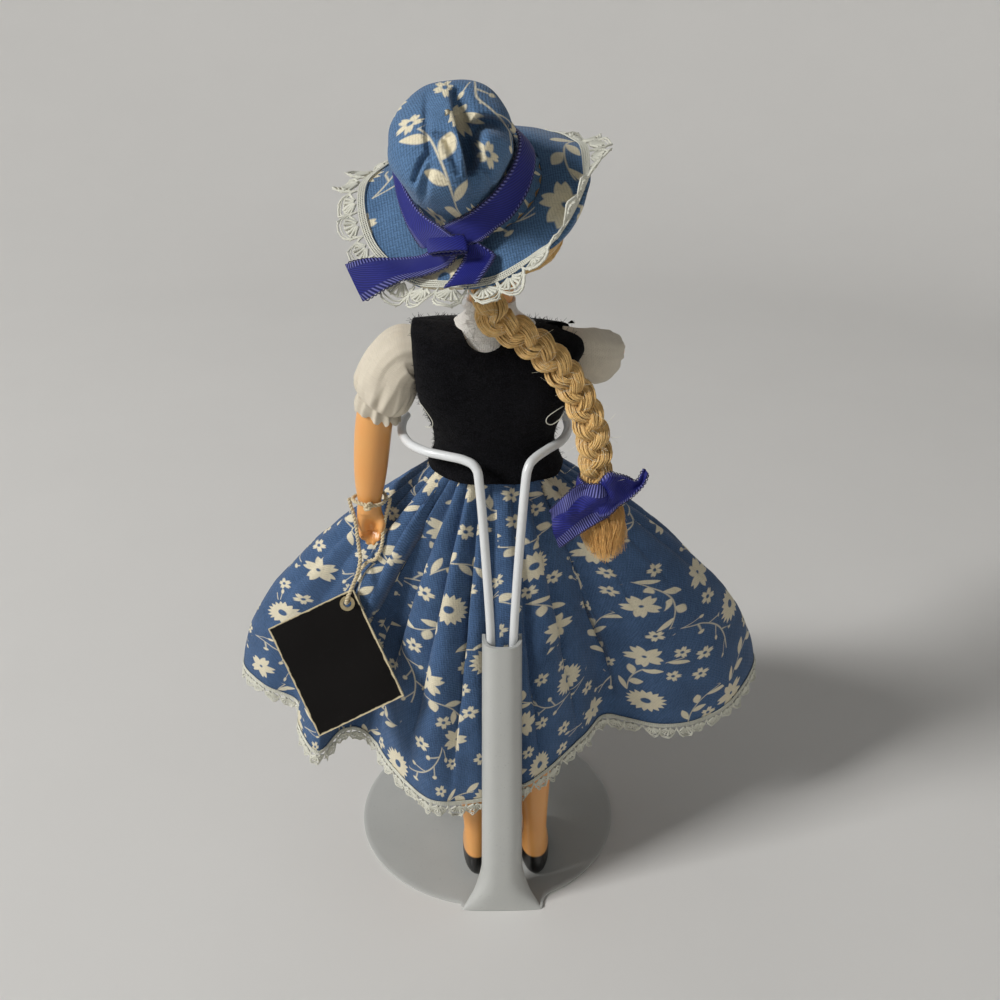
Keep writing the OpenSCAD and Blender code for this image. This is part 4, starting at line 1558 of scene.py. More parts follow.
@dataclass
class Arms:
    """Moulded arms with their hands."""

    path: Points = (
        (0, 0, 0), (1.6, 0, 0), (3.6, 0, -0.8), (6, 0, -3.2), (8, 0, -7.4), (9.4, 0, -12.4), (10.4, 0.1, -18),
        (11.2, 0.4, -25), (11.8, 0.6, -31), (12.1, 0.7, -35), (12.3, 0.7, -38.4),
    )
    radii: Points = (
        (3.9, 3.9), (3.9, 3.9), (3.8, 3.8), (3.8, 3.8), (3.8, 3.8), (4.0, 4.0), (4.1, 4.0), (3.9, 3.8),
        (3.4, 3.4), (2.75, 2.8), (2.8, 2.4),
    )
    palm: Points = ((12.3, 0.7, -36.6), (12.35, 0.5, -39.5), (12.4, 0.3, -42.2), (12.4, 0.1, -43.6))
    thumb: Points = ((10.6, 0.4, -38.6), (9.5, 1.5, -41.0), (10.3, 2.3, -43.4))
    fingers: Points = ((-2.1, -46.0, 0.8), (-0.7, -47.1, 0.9), (0.75, -47.0, 0.9), (2.1, -45.6, 0.8))
    voxel: float = 0.32

    def build(self) -> None:
        """Make both arms."""
        for side, matrix in ARMS.items():
            form = placed(self.form(), matrix)
            piece(f"{side}_arm_moulding", form, Looks.ARM, f"{side}_arm", [f"{side}_arm"], crease=180)

    @staticmethod
    def digit(bend: Points, count: int, radius: float) -> Mesh:
        """Finger or thumb with a round tip, along a bend."""
        path = Spline(bend).sampled(count)
        return tube(path, lambda s: (radius * sqrt(max(1 - s**5, 0.04)),) * 2, 20, (0, 1, 0))

    def form(self) -> Mesh:
        """One arm in the left shoulder's frame."""
        path = Spline(self.path).sampled(61)
        reach = Spline(self.radii)
        parts = [tube(path, lambda s: tuple(reach.at(s)), 40, (1, 0, 0))]
        palm = Spline(self.palm).sampled(13)

        def broad(share: float) -> Pair:
            """Reach of the palm across it and through it."""
            return mix(2.6, 3.0, sin(pi * min(share * 1.2, 1))), mix(2.3, 1.5, share)

        parts.append(tube(palm, broad, 32, (1, 0, 0)))
        for x, tip, r in self.fingers:
            bend = (12.4 + x * 0.8, 0.0, -41.6), (12.4 + x * 1.05, -0.2, -44.0), (12.3 + x * 0.75, 1.5, tip)
            parts.append(self.digit(bend, 13, r))
        parts.append(self.digit(self.thumb, 11, 0.95))
        form = through(together(*parts), "REMESH", mode="VOXEL", voxel_size=self.voxel)
        form = through(form, "SMOOTH", factor=0.5, iterations=3)
        for vert in form.verts:
            if vert.co.y > 0.2:
                vert.co.y -= 2.2 * bell(vert.co.x - 12.2, 1.4) * bell(vert.co.z + 42.4, 2.3)
        return form


@dataclass
class Wig:
    """Wig on the head, its plait, the loose hair below the tie and the ribbon tied round it."""

    radius: float = 15.8
    locks: int = 300
    route: Points = (
        (2.6, 31.2, 167), (2.6, 32, 162.5), (1.2, 31.6, 158.4), (-4, 31.4, 155.2), (-9.4, 31.4, 150.8),
        (-13.4, 31.6, 146), (-16, 31.7, 141.4), (-18.2, 31.8, 136), (-19.3, 31.8, 130.3),
        (-19.8, 31.8, 125.6), (-20, 31.8, 119.6),
    )
    tie: Triple = (-20, 31.8, 119.6)
    turn_length: float = 13.5
    swing: Pair = (1.85, 1.0)
    strand: Pair = (1.85, 1.35)
    fibres: int = 100
    loose_hairs: int = 2400
    stray_hairs: int = 150
    step: float = 0.8
    tails: tuple[tuple[float, Points, Points], ...] = (
        (
            0.8,
            ((-2.4, 3.2, 3.4), (0.8, 3.9, 4.2), (4.2, 3.6, 3.6), (7, 2.9, 0.6), (9.9, 1.8, -3.2)),
            ((-3, 3, -3.8), (-0.6, 3.9, -4.6), (2.6, 3.7, -7), (5.2, 2.9, -9.6), (7.6, 2, -12.2)),
        ),
        (
            0.9,
            (
                (0.2, 3.2, 3.2), (-2, 3.6, 6.6), (-4.2, 2.9, 6), (-6.4, 2.2, 5), (-8.6, 1.2, 3.6),
                (-9.9, 0.6, 6.2),
            ),
            (
                (-0.6, 4.2, -3.4), (-2.8, 4.4, -2.6), (-4.8, 3.6, -1), (-7.2, 2.6, 0.2), (-9.9, 1.6, 2.8),
                (-10.9, 1, 5.4),
            ),
        ),
    )
    seed: int = 11

    def build(self) -> None:
        """Make the hair and its ribbon."""
        dice = Random(self.seed)
        hair = [Looks.HAIR_DARK, Looks.HAIR, Looks.HAIR_LIGHT]
        loose = [Looks.TUFT, Looks.HAIR, Looks.HAIR_DARK]
        piece("wig_cap", self.cap(), Looks.HAIR_DARK, "doll", ["hair_cap"])
        strands("wig_locks", self.combed(dice), hair, "doll")
        strands("plait", self.plait(dice), hair, "doll", ["braid"])
        strands("plait_tuft", self.tuft(dice), loose, "doll", ["braid_tuft"])
        strands("stray_hairs", self.stray(dice), [Looks.HAIR_LIGHT, Looks.HAIR], "doll")
        self.bow()

    def cap(self) -> Mesh:
        """Net under the locks, from the crown down to the hairline."""

        def surface(u: float, v: float) -> Vector:
            """Place for a pair of shares."""
            angle = u * tau
            low = mix(-0.55, 0.38, 1 - ease(-0.75, 0.1, cos(angle)))
            up = mix(1.0, low, v)
            out = sqrt(max(1 - up * up, 0.0))
            return HEAD + Vector((out * sin(angle), out * cos(angle), up)) * (self.radius - 1.0)

        bm = skin(surface, 72, 24, wrap=True)
        bmesh.ops.reverse_faces(bm, faces=bm.faces)
        return through(bm, "SOLIDIFY", thickness=0.5, offset=-1.0)

    def combed(self, dice: Random) -> list[Strand]:
        """Locks from the parting round both sides to the nape."""
        made = []
        for i in range(self.locks):
            side = 1 if i % 2 else -1
            t = dice.random()
            start = Vector((0.04 * side, mix(-0.8, 0.75, t), mix(0.62, 0.75, sin(pi * t)))).normalized()
            low = mix(0.05, 0.25, t) + dice.uniform(-0.32, 0.2)
            middle = Vector((mix(0.98, 0.55, t) * side, mix(-0.35, 0.75, t), low)).normalized()
            end = Vector((dice.uniform(-0.12, 0.12), 0.92, -0.42 + dice.uniform(-0.14, 0.1))).normalized()
            lift = self.radius + dice.uniform(-0.9, 0.0)
            points = []
            for k in range(15):
                s = k / 14
                way = start * (1 - s) ** 2 + middle * (2.4 * s * (1 - s)) + end * s**2
                points.append(HEAD + way.normalized() * lift)
            made.append(Strand(points, dice.uniform(0.32, 0.55), dice.choice((0, 1, 1, 1, 2)), 0.6))
        return made

    def plait(self, dice: Random) -> list[Strand]:
        """Three strands of fibres that pass over each other."""
        path = evenly(Spline(self.route).sampled(160), self.step)
        carried = frames(path, (1, 0, 0))
        made, last = [], len(path) - 1
        for k in range(3):
            for _ in range(self.fibres):
                at, far = dice.random() * tau, sqrt(dice.uniform(0.35, 1.0))
                spin, look = dice.uniform(-0.03, 0.03), dice.choice((0, 1, 1, 2, 2, 2))
                radius, waver = dice.uniform(0.09, 0.15), dice.random() * 40
                points = []
                for i, place in enumerate(path):
                    phase = tau * (i * self.step / self.turn_length + k / 3)
                    narrow = mix(0.8, 1.0, ease(0, 10, i)) * mix(1.0, 0.72, ease(last - 8, last, i))
                    x = self.swing[0] * sin(phase) + self.strand[0] * far * cos(at + spin * i)
                    y = self.swing[1] * sin(2 * phase) + self.strand[1] * far * sin(at + spin * i)
                    x += 0.3 * ripple((i * self.step, waver, k), 0.3)
                    y += 0.2 * ripple((i * self.step, waver + 50, k), 0.3)
                    _, u, w = carried[i]
                    points.append(place + (u * x + w * y) * narrow)
                made.append(Strand(points, radius, look))
        return made

    def tuft(self, dice: Random) -> list[Strand]:
        """Loose hair that fans out below the tie."""
        tie, made = Vector(self.tie), []
        for _ in range(self.loose_hairs):
            at, far = dice.random() * tau, sqrt(dice.random())
            x, y = far * cos(at), far * sin(at)
            long = (17.6 - 3.4 * far * far) * dice.uniform(0.6, 1.04)
            curl = dice.uniform(0.3, 1.7)
            points = []
            for k in range(8):
                s = k / 7
                fan = mix(1.5, 5.6, sin(s * 1.9))
                points.append(tie + Vector((
                    x * fan + curl * sin(s * 5 + at) - 2.6 * s * s,
                    y * fan * 0.75 + curl * cos(s * 4 + at),
                    1.5 - s * long,
                )))
            made.append(Strand(points, dice.uniform(0.03, 0.055), dice.choice((0, 0, 0, 1, 1, 2)), 0.7))
        return made

    def stray(self, dice: Random) -> list[Strand]:
        """Single hairs that have slipped from the plait and lie on the bodice."""
        path, made = Spline(self.route), []
        for _ in range(self.stray_hairs):
            root = path.at(dice.uniform(0.12, 0.98))
            root += Vector((dice.uniform(-2.6, 2.6), dice.uniform(-0.5, 2.4), 0))
            way = Vector((dice.uniform(-1, 1), dice.uniform(-0.1, 0.6), dice.uniform(-1, 0.6)))
            bend = Vector((dice.uniform(-1, 1), dice.uniform(0, 0.5), dice.uniform(-1, 1)))
            long = dice.choice((1.6, 2.2, 2.8, 3.4))
            shares = (0, 0.2, 0.4, 0.6, 0.8, 1)
            points = [root + way * (long * s) + bend * (long * 0.7 * s * s) for s in shares]
            made.append(Strand(points, 0.03, dice.randrange(2), 0.6))
        return made

    def bow(self) -> None:
        """Ribbon knotted round the end of the plait, with a broad tail to each side."""
        tie = Vector(self.tie)
        parts = []
        for cup, *edges in self.tails:
            parts.append(Ribbon(*(moved(tie, *edge) for edge in edges), cup=cup, crumple=2.2))
        ring = [(3.7 * sin(a), 3.5 * cos(a)) for a in turns(16)]
        top = moved(tie, *((x, y, 3.0 + 0.3 * x) for x, y in ring))
        low = moved(tie, *((x * 0.96, y * 0.96, -2.4 + 0.3 * x) for x, y in ring))
        parts.append(Ribbon(top, low, cup=0.5))
        ribbons("plait_ribbon", parts, ["braid_bow"])


@dataclass
class Blouse:
    """White blouse body, its puffed sleeves and their frilled cuffs."""

    low: float = 115.0
    high: float = 158.6
    puff: Points = (
        (-1, 0, 0), (1.4, 0, 0), (3, 0, -0.6), (5, 0, -2.8), (6.5, 0, -6), (8, 0, -9.4), (8.9, 0, -11.8),
    )
    swell: Points = ((0, 1.0), (0.17, 1.3), (0.33, 1.8), (0.5, 2.1), (0.67, 2.2), (0.83, 1.6), (1, 0.4))
    frill: Points = ((8.9, 0, -11.6), (9.1, 0, -12.5), (9.3, 0, -13.5), (9.5, 0.1, -14.7))
    tilt: float = 0.26
    full: ClassVar[dict[str, float]] = {"left": 1.0, "right": 0.5}
    thick: float = 0.4
    fluff: int = 900
    body_flat: Pair = (68, 40)
    sleeve_flat: Pair = (46, 17)
    cuff_flat: Pair = (44, 5)
    seed: int = 5

    def build(self) -> None:
        """Make body, sleeves and cuffs."""
        dice = Random(self.seed)
        body = skin(self.torso, 120, 60, rectangle(self.body_flat), wrap=True)
        neck = fuzz(body, self.fluff, (0.6, 1.8), 0.05, dice, lambda p: p.z > 150.6 and abs(p.x - 3) < 4.4)
        shirt = piece("blouse_body", body, Looks.BLOUSE, "doll", ["blouse"], thick=0.5)
        cloth(shirt, Held.STRETCHED)
        strands("blouse_neck_fluff", neck, [Looks.FLUFF, Looks.FLUFF], "doll")
        for side, matrix in ARMS.items():
            made = []
            for name, form, hides in (("puff", self.sleeve, "sleeve"), ("cuff_frill", self.cuff, "cuff")):
                bm, nodes = placed(form(dice.random() * 50, self.full[side]), matrix), [f"{side}_{hides}"]
                made.append(piece(f"{side}_{name}", bm, Looks.SLEEVE, f"{side}_arm", nodes, thick=self.thick))
            cloth(made[0], Held.GATHERED)

    def torso(self, u: float, v: float) -> Vector:
        """Place on the blouse's body, which lies closer at the neck."""
        z = mix(self.low, self.high, v)
        return BODY.at(z, -u * tau, 0.55 - 0.5 * bell(z - 151.4, 2.6))

    def sleeve(self, seed: float, full: float) -> Mesh:
        """Puffed sleeve, smooth at the shoulder and gathered at the elastic, as full as its share says."""
        rows = 56
        path = Spline(self.puff).sampled(rows + 1)
        carried = frames(path, (0, 1, 0))

        def surface(u: float, v: float) -> Vector:
            """Place for a pair of shares."""
            i = round(v * rows)
            _, a, b = carried[i]
            angle = u * tau
            pull = ease(0.55, 1.0, v)
            pleat = cos(angle * 13 + 4 * round_ripple(angle, 2, seed, 0.8))
            fold = 0.42 * pleat * pull + 1.2 * round_ripple(angle, 2.4, v * 2.4 + seed, 0.62)
            fold += 0.3 * round_ripple(angle, 7, v * 3 + seed, 0.7)
            r = 4.7 - 0.3 * v + full * (table_row(self.swell, v)[1] + fold * min(1.0, 6 * v * (1 - v) + 0.25))
            deep = mix(1.0, 1.12, sin(pi * v))
            place = path[i] + a * (r * deep * cos(angle)) + b * (r * sin(angle))
            place.y += 3.0 * (1 - full) * sin(pi * v)
            place.z += self.tilt * (place.x - path[-1].x) * pull
            return place

        return turned_out(skin(surface, 144, rows, rectangle(self.sleeve_flat), wrap=True))

    def cuff(self, seed: float, full: float) -> Mesh:
        """Frill below the elastic, as full as its share says."""
        rows = 20
        path = Spline(self.frill).sampled(rows + 1)
        carried = frames(path, (0, 1, 0))

        def surface(u: float, v: float) -> Vector:
            """Place for a pair of shares."""
            i = round(v * rows)
            t, a, b = carried[i]
            angle = u * tau
            wave = cos(11 * angle + 2.2 * round_ripple(angle, 2, seed, 1.0))
            r = 4.25 + full * (0.5 * sin(2.2 * v) + wave * (0.22 + 0.24 * v))
            r += 0.5 * full * v * round_ripple(angle, 4, seed, 0.9)
            ragged = v**2 * round_ripple(angle, 9, seed, 0.6)
            place = path[i] + a * (r * cos(angle)) + b * (r * sin(angle)) - t * ragged
            place.z += self.tilt * (place.x - path[0].x)
            return place

        return turned_out(skin(surface, 180, rows, rectangle(self.cuff_flat), wrap=True))


@dataclass
class Bodice:
    """Black felt bodice and the ribbon bow at its front."""

    thick: float = 0.9
    armhole: float = 6.2
    neck: Triple = (3.4, 155.2, 5.2)
    thread_loops: tuple[Points, ...] = (
        ((17.4, 25.6, 138.4), (16, 27, 137), (14.7, 27.7, 135), (14.9, 27.6, 133.6), (16.2, 26.4, 133.2)),
        (
            (-13, 26.6, 137.8), (-11.4, 27.6, 137.2), (-9.6, 28.2, 136), (-9.4, 28.4, 134.8),
            (-10.6, 28, 134.2), (-12.4, 27.2, 135.2), (-13.2, 26.6, 136.4),
        ),
    )
    rows: Points = (
        (121, 15.2, 12.3, 0, 2.2), (123, 14.4, 11.6, 0, 2.2), (126, 13.4, 10.5, 0, 2.2),
        (130, 13.7, 10.7, 0.3, 2.4), (134, 15, 11.1, 0.6, 3), (139, 16.6, 11.6, 0.9, 4.2),
        (145, 17, 11.5, 0.7, 4.6), (149, 17.1, 10.8, 0.3, 4.6), (151, 17.2, 9.8, 0, 4),
        (152.6, 17.2, 8.4, 0, 3.5), (153.6, 17, 6.6, 0, 3), (154.2, 16.8, 4.6, 0, 2.5),
        (154.6, 16.6, 2.6, 0, 2.5),
    )
    bow_loop: Points = (
        (0, -0.3, 2.0, 2.0), (5, -1.6, 3.4, 2.6), (10, -0.6, 3.9, 3.4), (12, 0.2, 3.6, 3.2),
        (10, 0.9, 3.8, 3.4), (5, 0.6, 3.0, 2.4), (0, 0.3, 2.0, 2.0),
    )
    bow_tail: tuple[Points, Points] = (
        ((0.2, 0.2, -1), (3.4, -0.9, -4), (6.2, -2.2, -8)),
        ((-2.4, 0.2, -1.6), (-1.2, -1.0, -5.6), (1.0, -2.6, -10.4)),
    )
    nap: int = 5200
    bow_at: Pair = (6.4, 127.5)
    seed: int = 3

    def build(self) -> None:
        """Make the bodice with its nap and thread loops, and the bow."""
        dice = Random(self.seed)
        form = self.form()
        nap = fuzz(form, self.nap, (0.4, 1.2), 0.045, dice)
        piece("felt_bodice", form, Looks.FELT, "doll", ["bodice"], crease=60)
        strands("felt_nap", nap, [Looks.FELT, Looks.NAP], "doll")
        strands("bodice_loops", self.loops(), [Looks.LACE], "doll")
        self.bow()

    def form(self) -> Mesh:
        """Felt tube with armholes and a round neckline cut out of it."""

        def surface(u: float, v: float) -> Vector:
            """Place for a pair of shares."""
            up = mix(self.rows[0][0], self.rows[-1][0], min(v / 0.9, 1.0))
            z, wide, deep, ahead, power = table_row(self.rows, up)
            angle = -u * tau
            x, y = wide * bent(sin(angle), power), deep * bent(cos(angle), power)
            x *= 1.0 + 0.15 * ease(143, 151, z) * (x < 0) * ease(-1, 5, y)
            y *= 1.0 - 0.96 * ease(0.84, 1.0, v)
            point = Vector((BODY.lean(z) + x, BODY.middle_y - ahead + y, z))
            point.z += 0.7 * ripple((x, y, 3), 0.14) * (1 - v) ** 4 + (0.045 * x - 0.9) * ease(146, 154, z)
            return point + Vector((x, y, 0)).normalized() * (0.3 * ripple(point, 0.2))

        bm = skin(surface, 176, 84, wrap=True)
        bm = turned_out(through(bm, "SOLIDIFY", thickness=self.thick, offset=-1.0))
        middle, up, open_to = self.neck
        tools = []
        for x, z, axis, radius, deep in (
            (0, LEFT_ARM.translation.z, "Y", self.armhole, 80.0),
            (middle, up, "X", open_to, 60.0),
        ):
            matrix = Matrix.Translation((x, BODY.middle_y, z)) @ Matrix.Rotation(pi / 2, 4, axis)
            tool = bmesh.new()
            bmesh.ops.create_cone(
                tool, cap_ends=True, segments=72, radius1=radius, radius2=radius, depth=deep, matrix=matrix
            )
            tools.append(tool)
        return cut(bm, *tools)

    def loops(self) -> list[Strand]:
        """Thread loops at the side seams."""
        return [Strand(Spline(line).sampled(25), 0.11) for line in self.thread_loops]

    def bow(self) -> None:
        """Bow of two loops and two tails at the front of the waist."""
        y, z = self.bow_at
        middle = Vector((BODY.lean(z), y, z))
        parts = []
        for side in (1, -1):
            top = moved(middle, *((side * x, y, up) for x, y, up, _ in self.bow_loop))
            low = moved(middle, *((side * x, y, -down) for x, y, _, down in self.bow_loop))
            parts.append(Ribbon(top, low, cup=0.2))
            tail = (moved(middle, *((side * x, y, up) for x, y, up in edge)) for edge in self.bow_tail)
            parts.append(Ribbon(*tail, cells=24, cup=0.3))
        ring = [(1.9 * cos(a), 1.3 * sin(a) - 0.5) for a in turns(12)]
        knot = (moved(middle, *((x, y, up) for x, y in ring)) for up in (2.2, -2.2))
        parts.append(Ribbon(*knot, cells=36, cup=0.3))
        ribbons("waist_bow", parts, ["front_bow"])


@dataclass
class Skirt:
    """Gathered printed skirt with lace at its hem."""

    waist_z: float = 121.0
    waist: Pair = (12.94, 10.0)
    hips_z: float = 94.0
    ease_in: float = 0.7
    thick: float = 0.5
    flat_top: float = 38.0
    flat_length: float = 98.0
    flat_turn: float = pi
    cells: tuple[int, int] = (600, 80)
    lace_steps: int = 900
    lace_size: Pair = (4.6, 3.9)
    seed: int = 8
    folds: int = 27
    hem: Points = (
        (0, 29.4, 33), (8, 30.4, 31.5), (18, 31.5, 33), (27, 23, 36), (35, 11.5, 38), (41, 13, 40),
        (47, 19, 38), (52, 12, 41), (54, 3, 42), (63, 0, 45), (70, -9, 46), (67, -20, 45), (58, -26, 44),
        (56, -36, 43), (45, -41, 43), (36, -36, 43), (29, -46, 42), (18, -48, 42), (10, -41, 43),
        (2, -49, 42), (-8, -47, 42), (-15, -41, 43), (-25, -48, 42), (-37, -44, 43), (-43, -36, 44),
        (-55, -37, 44), (-63, -26, 46), (-61, -17, 47), (-69, -6, 49), (-61, 8, 45), (-51, 14, 43),
        (-40, 17, 44), (-27, 14, 45), (-20, 22, 44), (-13, 27.5, 41), (-7, 29.5, 37),
    )
    pleats: Points = (
        (0.208, 5.0), (0.165, 4.6), (0.13, 8.0), (0.1, 6.6), (0.072, 5.4), (0.042, 7.2), (0.01, 5.0),
        (0.96, 5.6), (0.92, 4.8), (0.88, 4.4),
    )
    valleys: list[Triple] = field(default_factory=list)
    spread: list[float] = field(default_factory=list)

    def __post_init__(self) -> None:
        """Scatter the gathers round the waist."""
        dice = Random(self.seed)
        for k in range(self.folds):
            place = (k + dice.uniform(-0.25, 0.25)) / self.folds % 1.0
            if min(abs((place - taken + 0.5) % 1.0 - 0.5) for taken, _ in self.pleats) > 0.6 / self.folds:
                self.valleys.append((place, dice.uniform(1.4, 2.8), dice.uniform(0.5, 1.0)))
        self.valleys += [(place, deep, 1.0) for place, deep in self.pleats]
        self.valleys.sort()
        across = [self.at(i / self.cells[0], 0.4) for i in range(self.cells[0] + 1)]
        self.spread = distances(across)

    def gather(self, u: float, s: float) -> float:
        """How far the cloth goes in between two rolled folds, for a share round the skirt and down it."""
        k = bisect(self.valleys, (u % 1.0,))
        low, high = self.valleys[k - 1], self.valleys[k % len(self.valleys)]
        share = (u - low[0]) % 1.0 / ((high[0] - low[0]) % 1.0)
        sunk = [deep * (1 - ease(0.4 * end, 1.1 * end, s)) for _, deep, end in (low, high)]
        roll = sin(pi * share) ** 0.42
        return mix(*sunk, share) * (1 - roll) * (0.3 + 0.7 * ease(0.0, 0.12, s))

    def at(self, u: float, s: float) -> Vector:
        """Place on the skirt, for a share round it from the back and down it from the waist."""
        hem = Spline(self.hem, closed=True).at(u)
        angle = u * tau
        top = Vector((
            BODY.lean(self.waist_z) + self.waist[0] * bent(sin(angle), 2.2),
            BODY.middle_y + self.waist[1] * bent(cos(angle), 2.2),
        ))
        out = 1 - (1 - s) ** 1.6
        x, y = mix(top.x, hem.x, out), mix(top.y, hem.y, out)
        place = Vector((x, y, mix(self.waist_z, hem.z, s)))
        away = Vector((x - BODY.lean(self.waist_z), y - BODY.middle_y, 8)).normalized()
        wrinkle = 0.5 * ripple(place, 0.11) * ease(0.05, 0.5, s) + 0.16 * ripple((x, y, place.z * 0.5), 0.4)
        return place + away * (0.45 - min(self.gather(u, s), self.room(place)) + wrinkle)

    def room(self, place: Vector) -> float:
        """How far the cloth may go in at a place before it meets the hips, or the legs below them."""
        _, wide, deep, ahead = table_row(BODY.rows, max(place.z, self.hips_z))
        x, y = place.x - BODY.lean(place.z), place.y - BODY.middle_y + ahead
        far = (abs(x / (wide + self.ease_in)) ** 2.2 + abs(y / (deep + self.ease_in)) ** 2.2) ** (1 / 2.2)
        return max(hypot(x, y) * (1 - 1 / far), 0.0)

    def flat(self, u: float, s: float) -> Pair:
        """Place on the flat cloth, half a ring that has more cloth in the deep gathers."""
        gathered = self.spread[round(u * self.cells[0])] / self.spread[-1]
        share = mix(gathered, u, 0.6 * ease(0.45, 1.0, s))
        turn, far = (share - 0.5) * self.flat_turn, self.flat_top + self.flat_length * s
        return far * sin(turn), far * cos(turn)

    def build(self) -> None:
        """Make the skirt and its lace."""
        bm = skin(self.at, *self.cells, self.flat, wrap=True)
        cut_out = {"thick": self.thick, "lining": Looks.LINING, "crease": 180}
        printed = piece("printed_skirt", bm, Looks.SKIRT, "doll", ["skirt"], **cut_out)
        rail, drop, off = [], [], []
        for i in range(self.lace_steps + 1):
            here, ahead = (k / self.lace_steps % 1.0 for k in (i, i + 1))
            edge, above, beside = self.at(here, 1.0), self.at(here, 0.96), self.at(ahead, 1.0)
            down = (edge - above).normalized()
            out = (beside - edge).cross(down).normalized()
            rail.append(edge + out * 0.25)
            drop.append(down)
            off.append(out * (0.5 * sin(i * 0.9)))
        threads = Lace(rail, drop, off, *self.lace_size).threads()
        lace = strands("hem_lace", threads, [Looks.LACE], "doll", ["skirt_lace"])


@dataclass(frozen=True)
class Crease:
    """Fold of the crown along a line of places with the depth there, and its reach to the line's sides."""

    line: Points
    left: float
    right: float
    steep: float = 2.0

    def depth(self, p: float, q: float) -> float:
        """How far the cloth is sunk at a place, or raised where that is negative."""
        best, deep = 1e9, 0.0
        for (ax, ay, ad), (bx, by, bd) in zip(self.line, self.line[1:]):
            dx, dy = bx - ax, by - ay
            t = min(max(((p - ax) * dx + (q - ay) * dy) / (dx * dx + dy * dy), 0.0), 1.0)
            ox, oy = p - ax - dx * t, q - ay - dy * t
            far = hypot(ox, oy)
            if far < best:
                best = far
                reach = self.left if dx * oy - dy * ox > 0 else self.right
                deep = mix(ad, bd, t) * exp(-((far / reach) ** self.steep))
        return deep


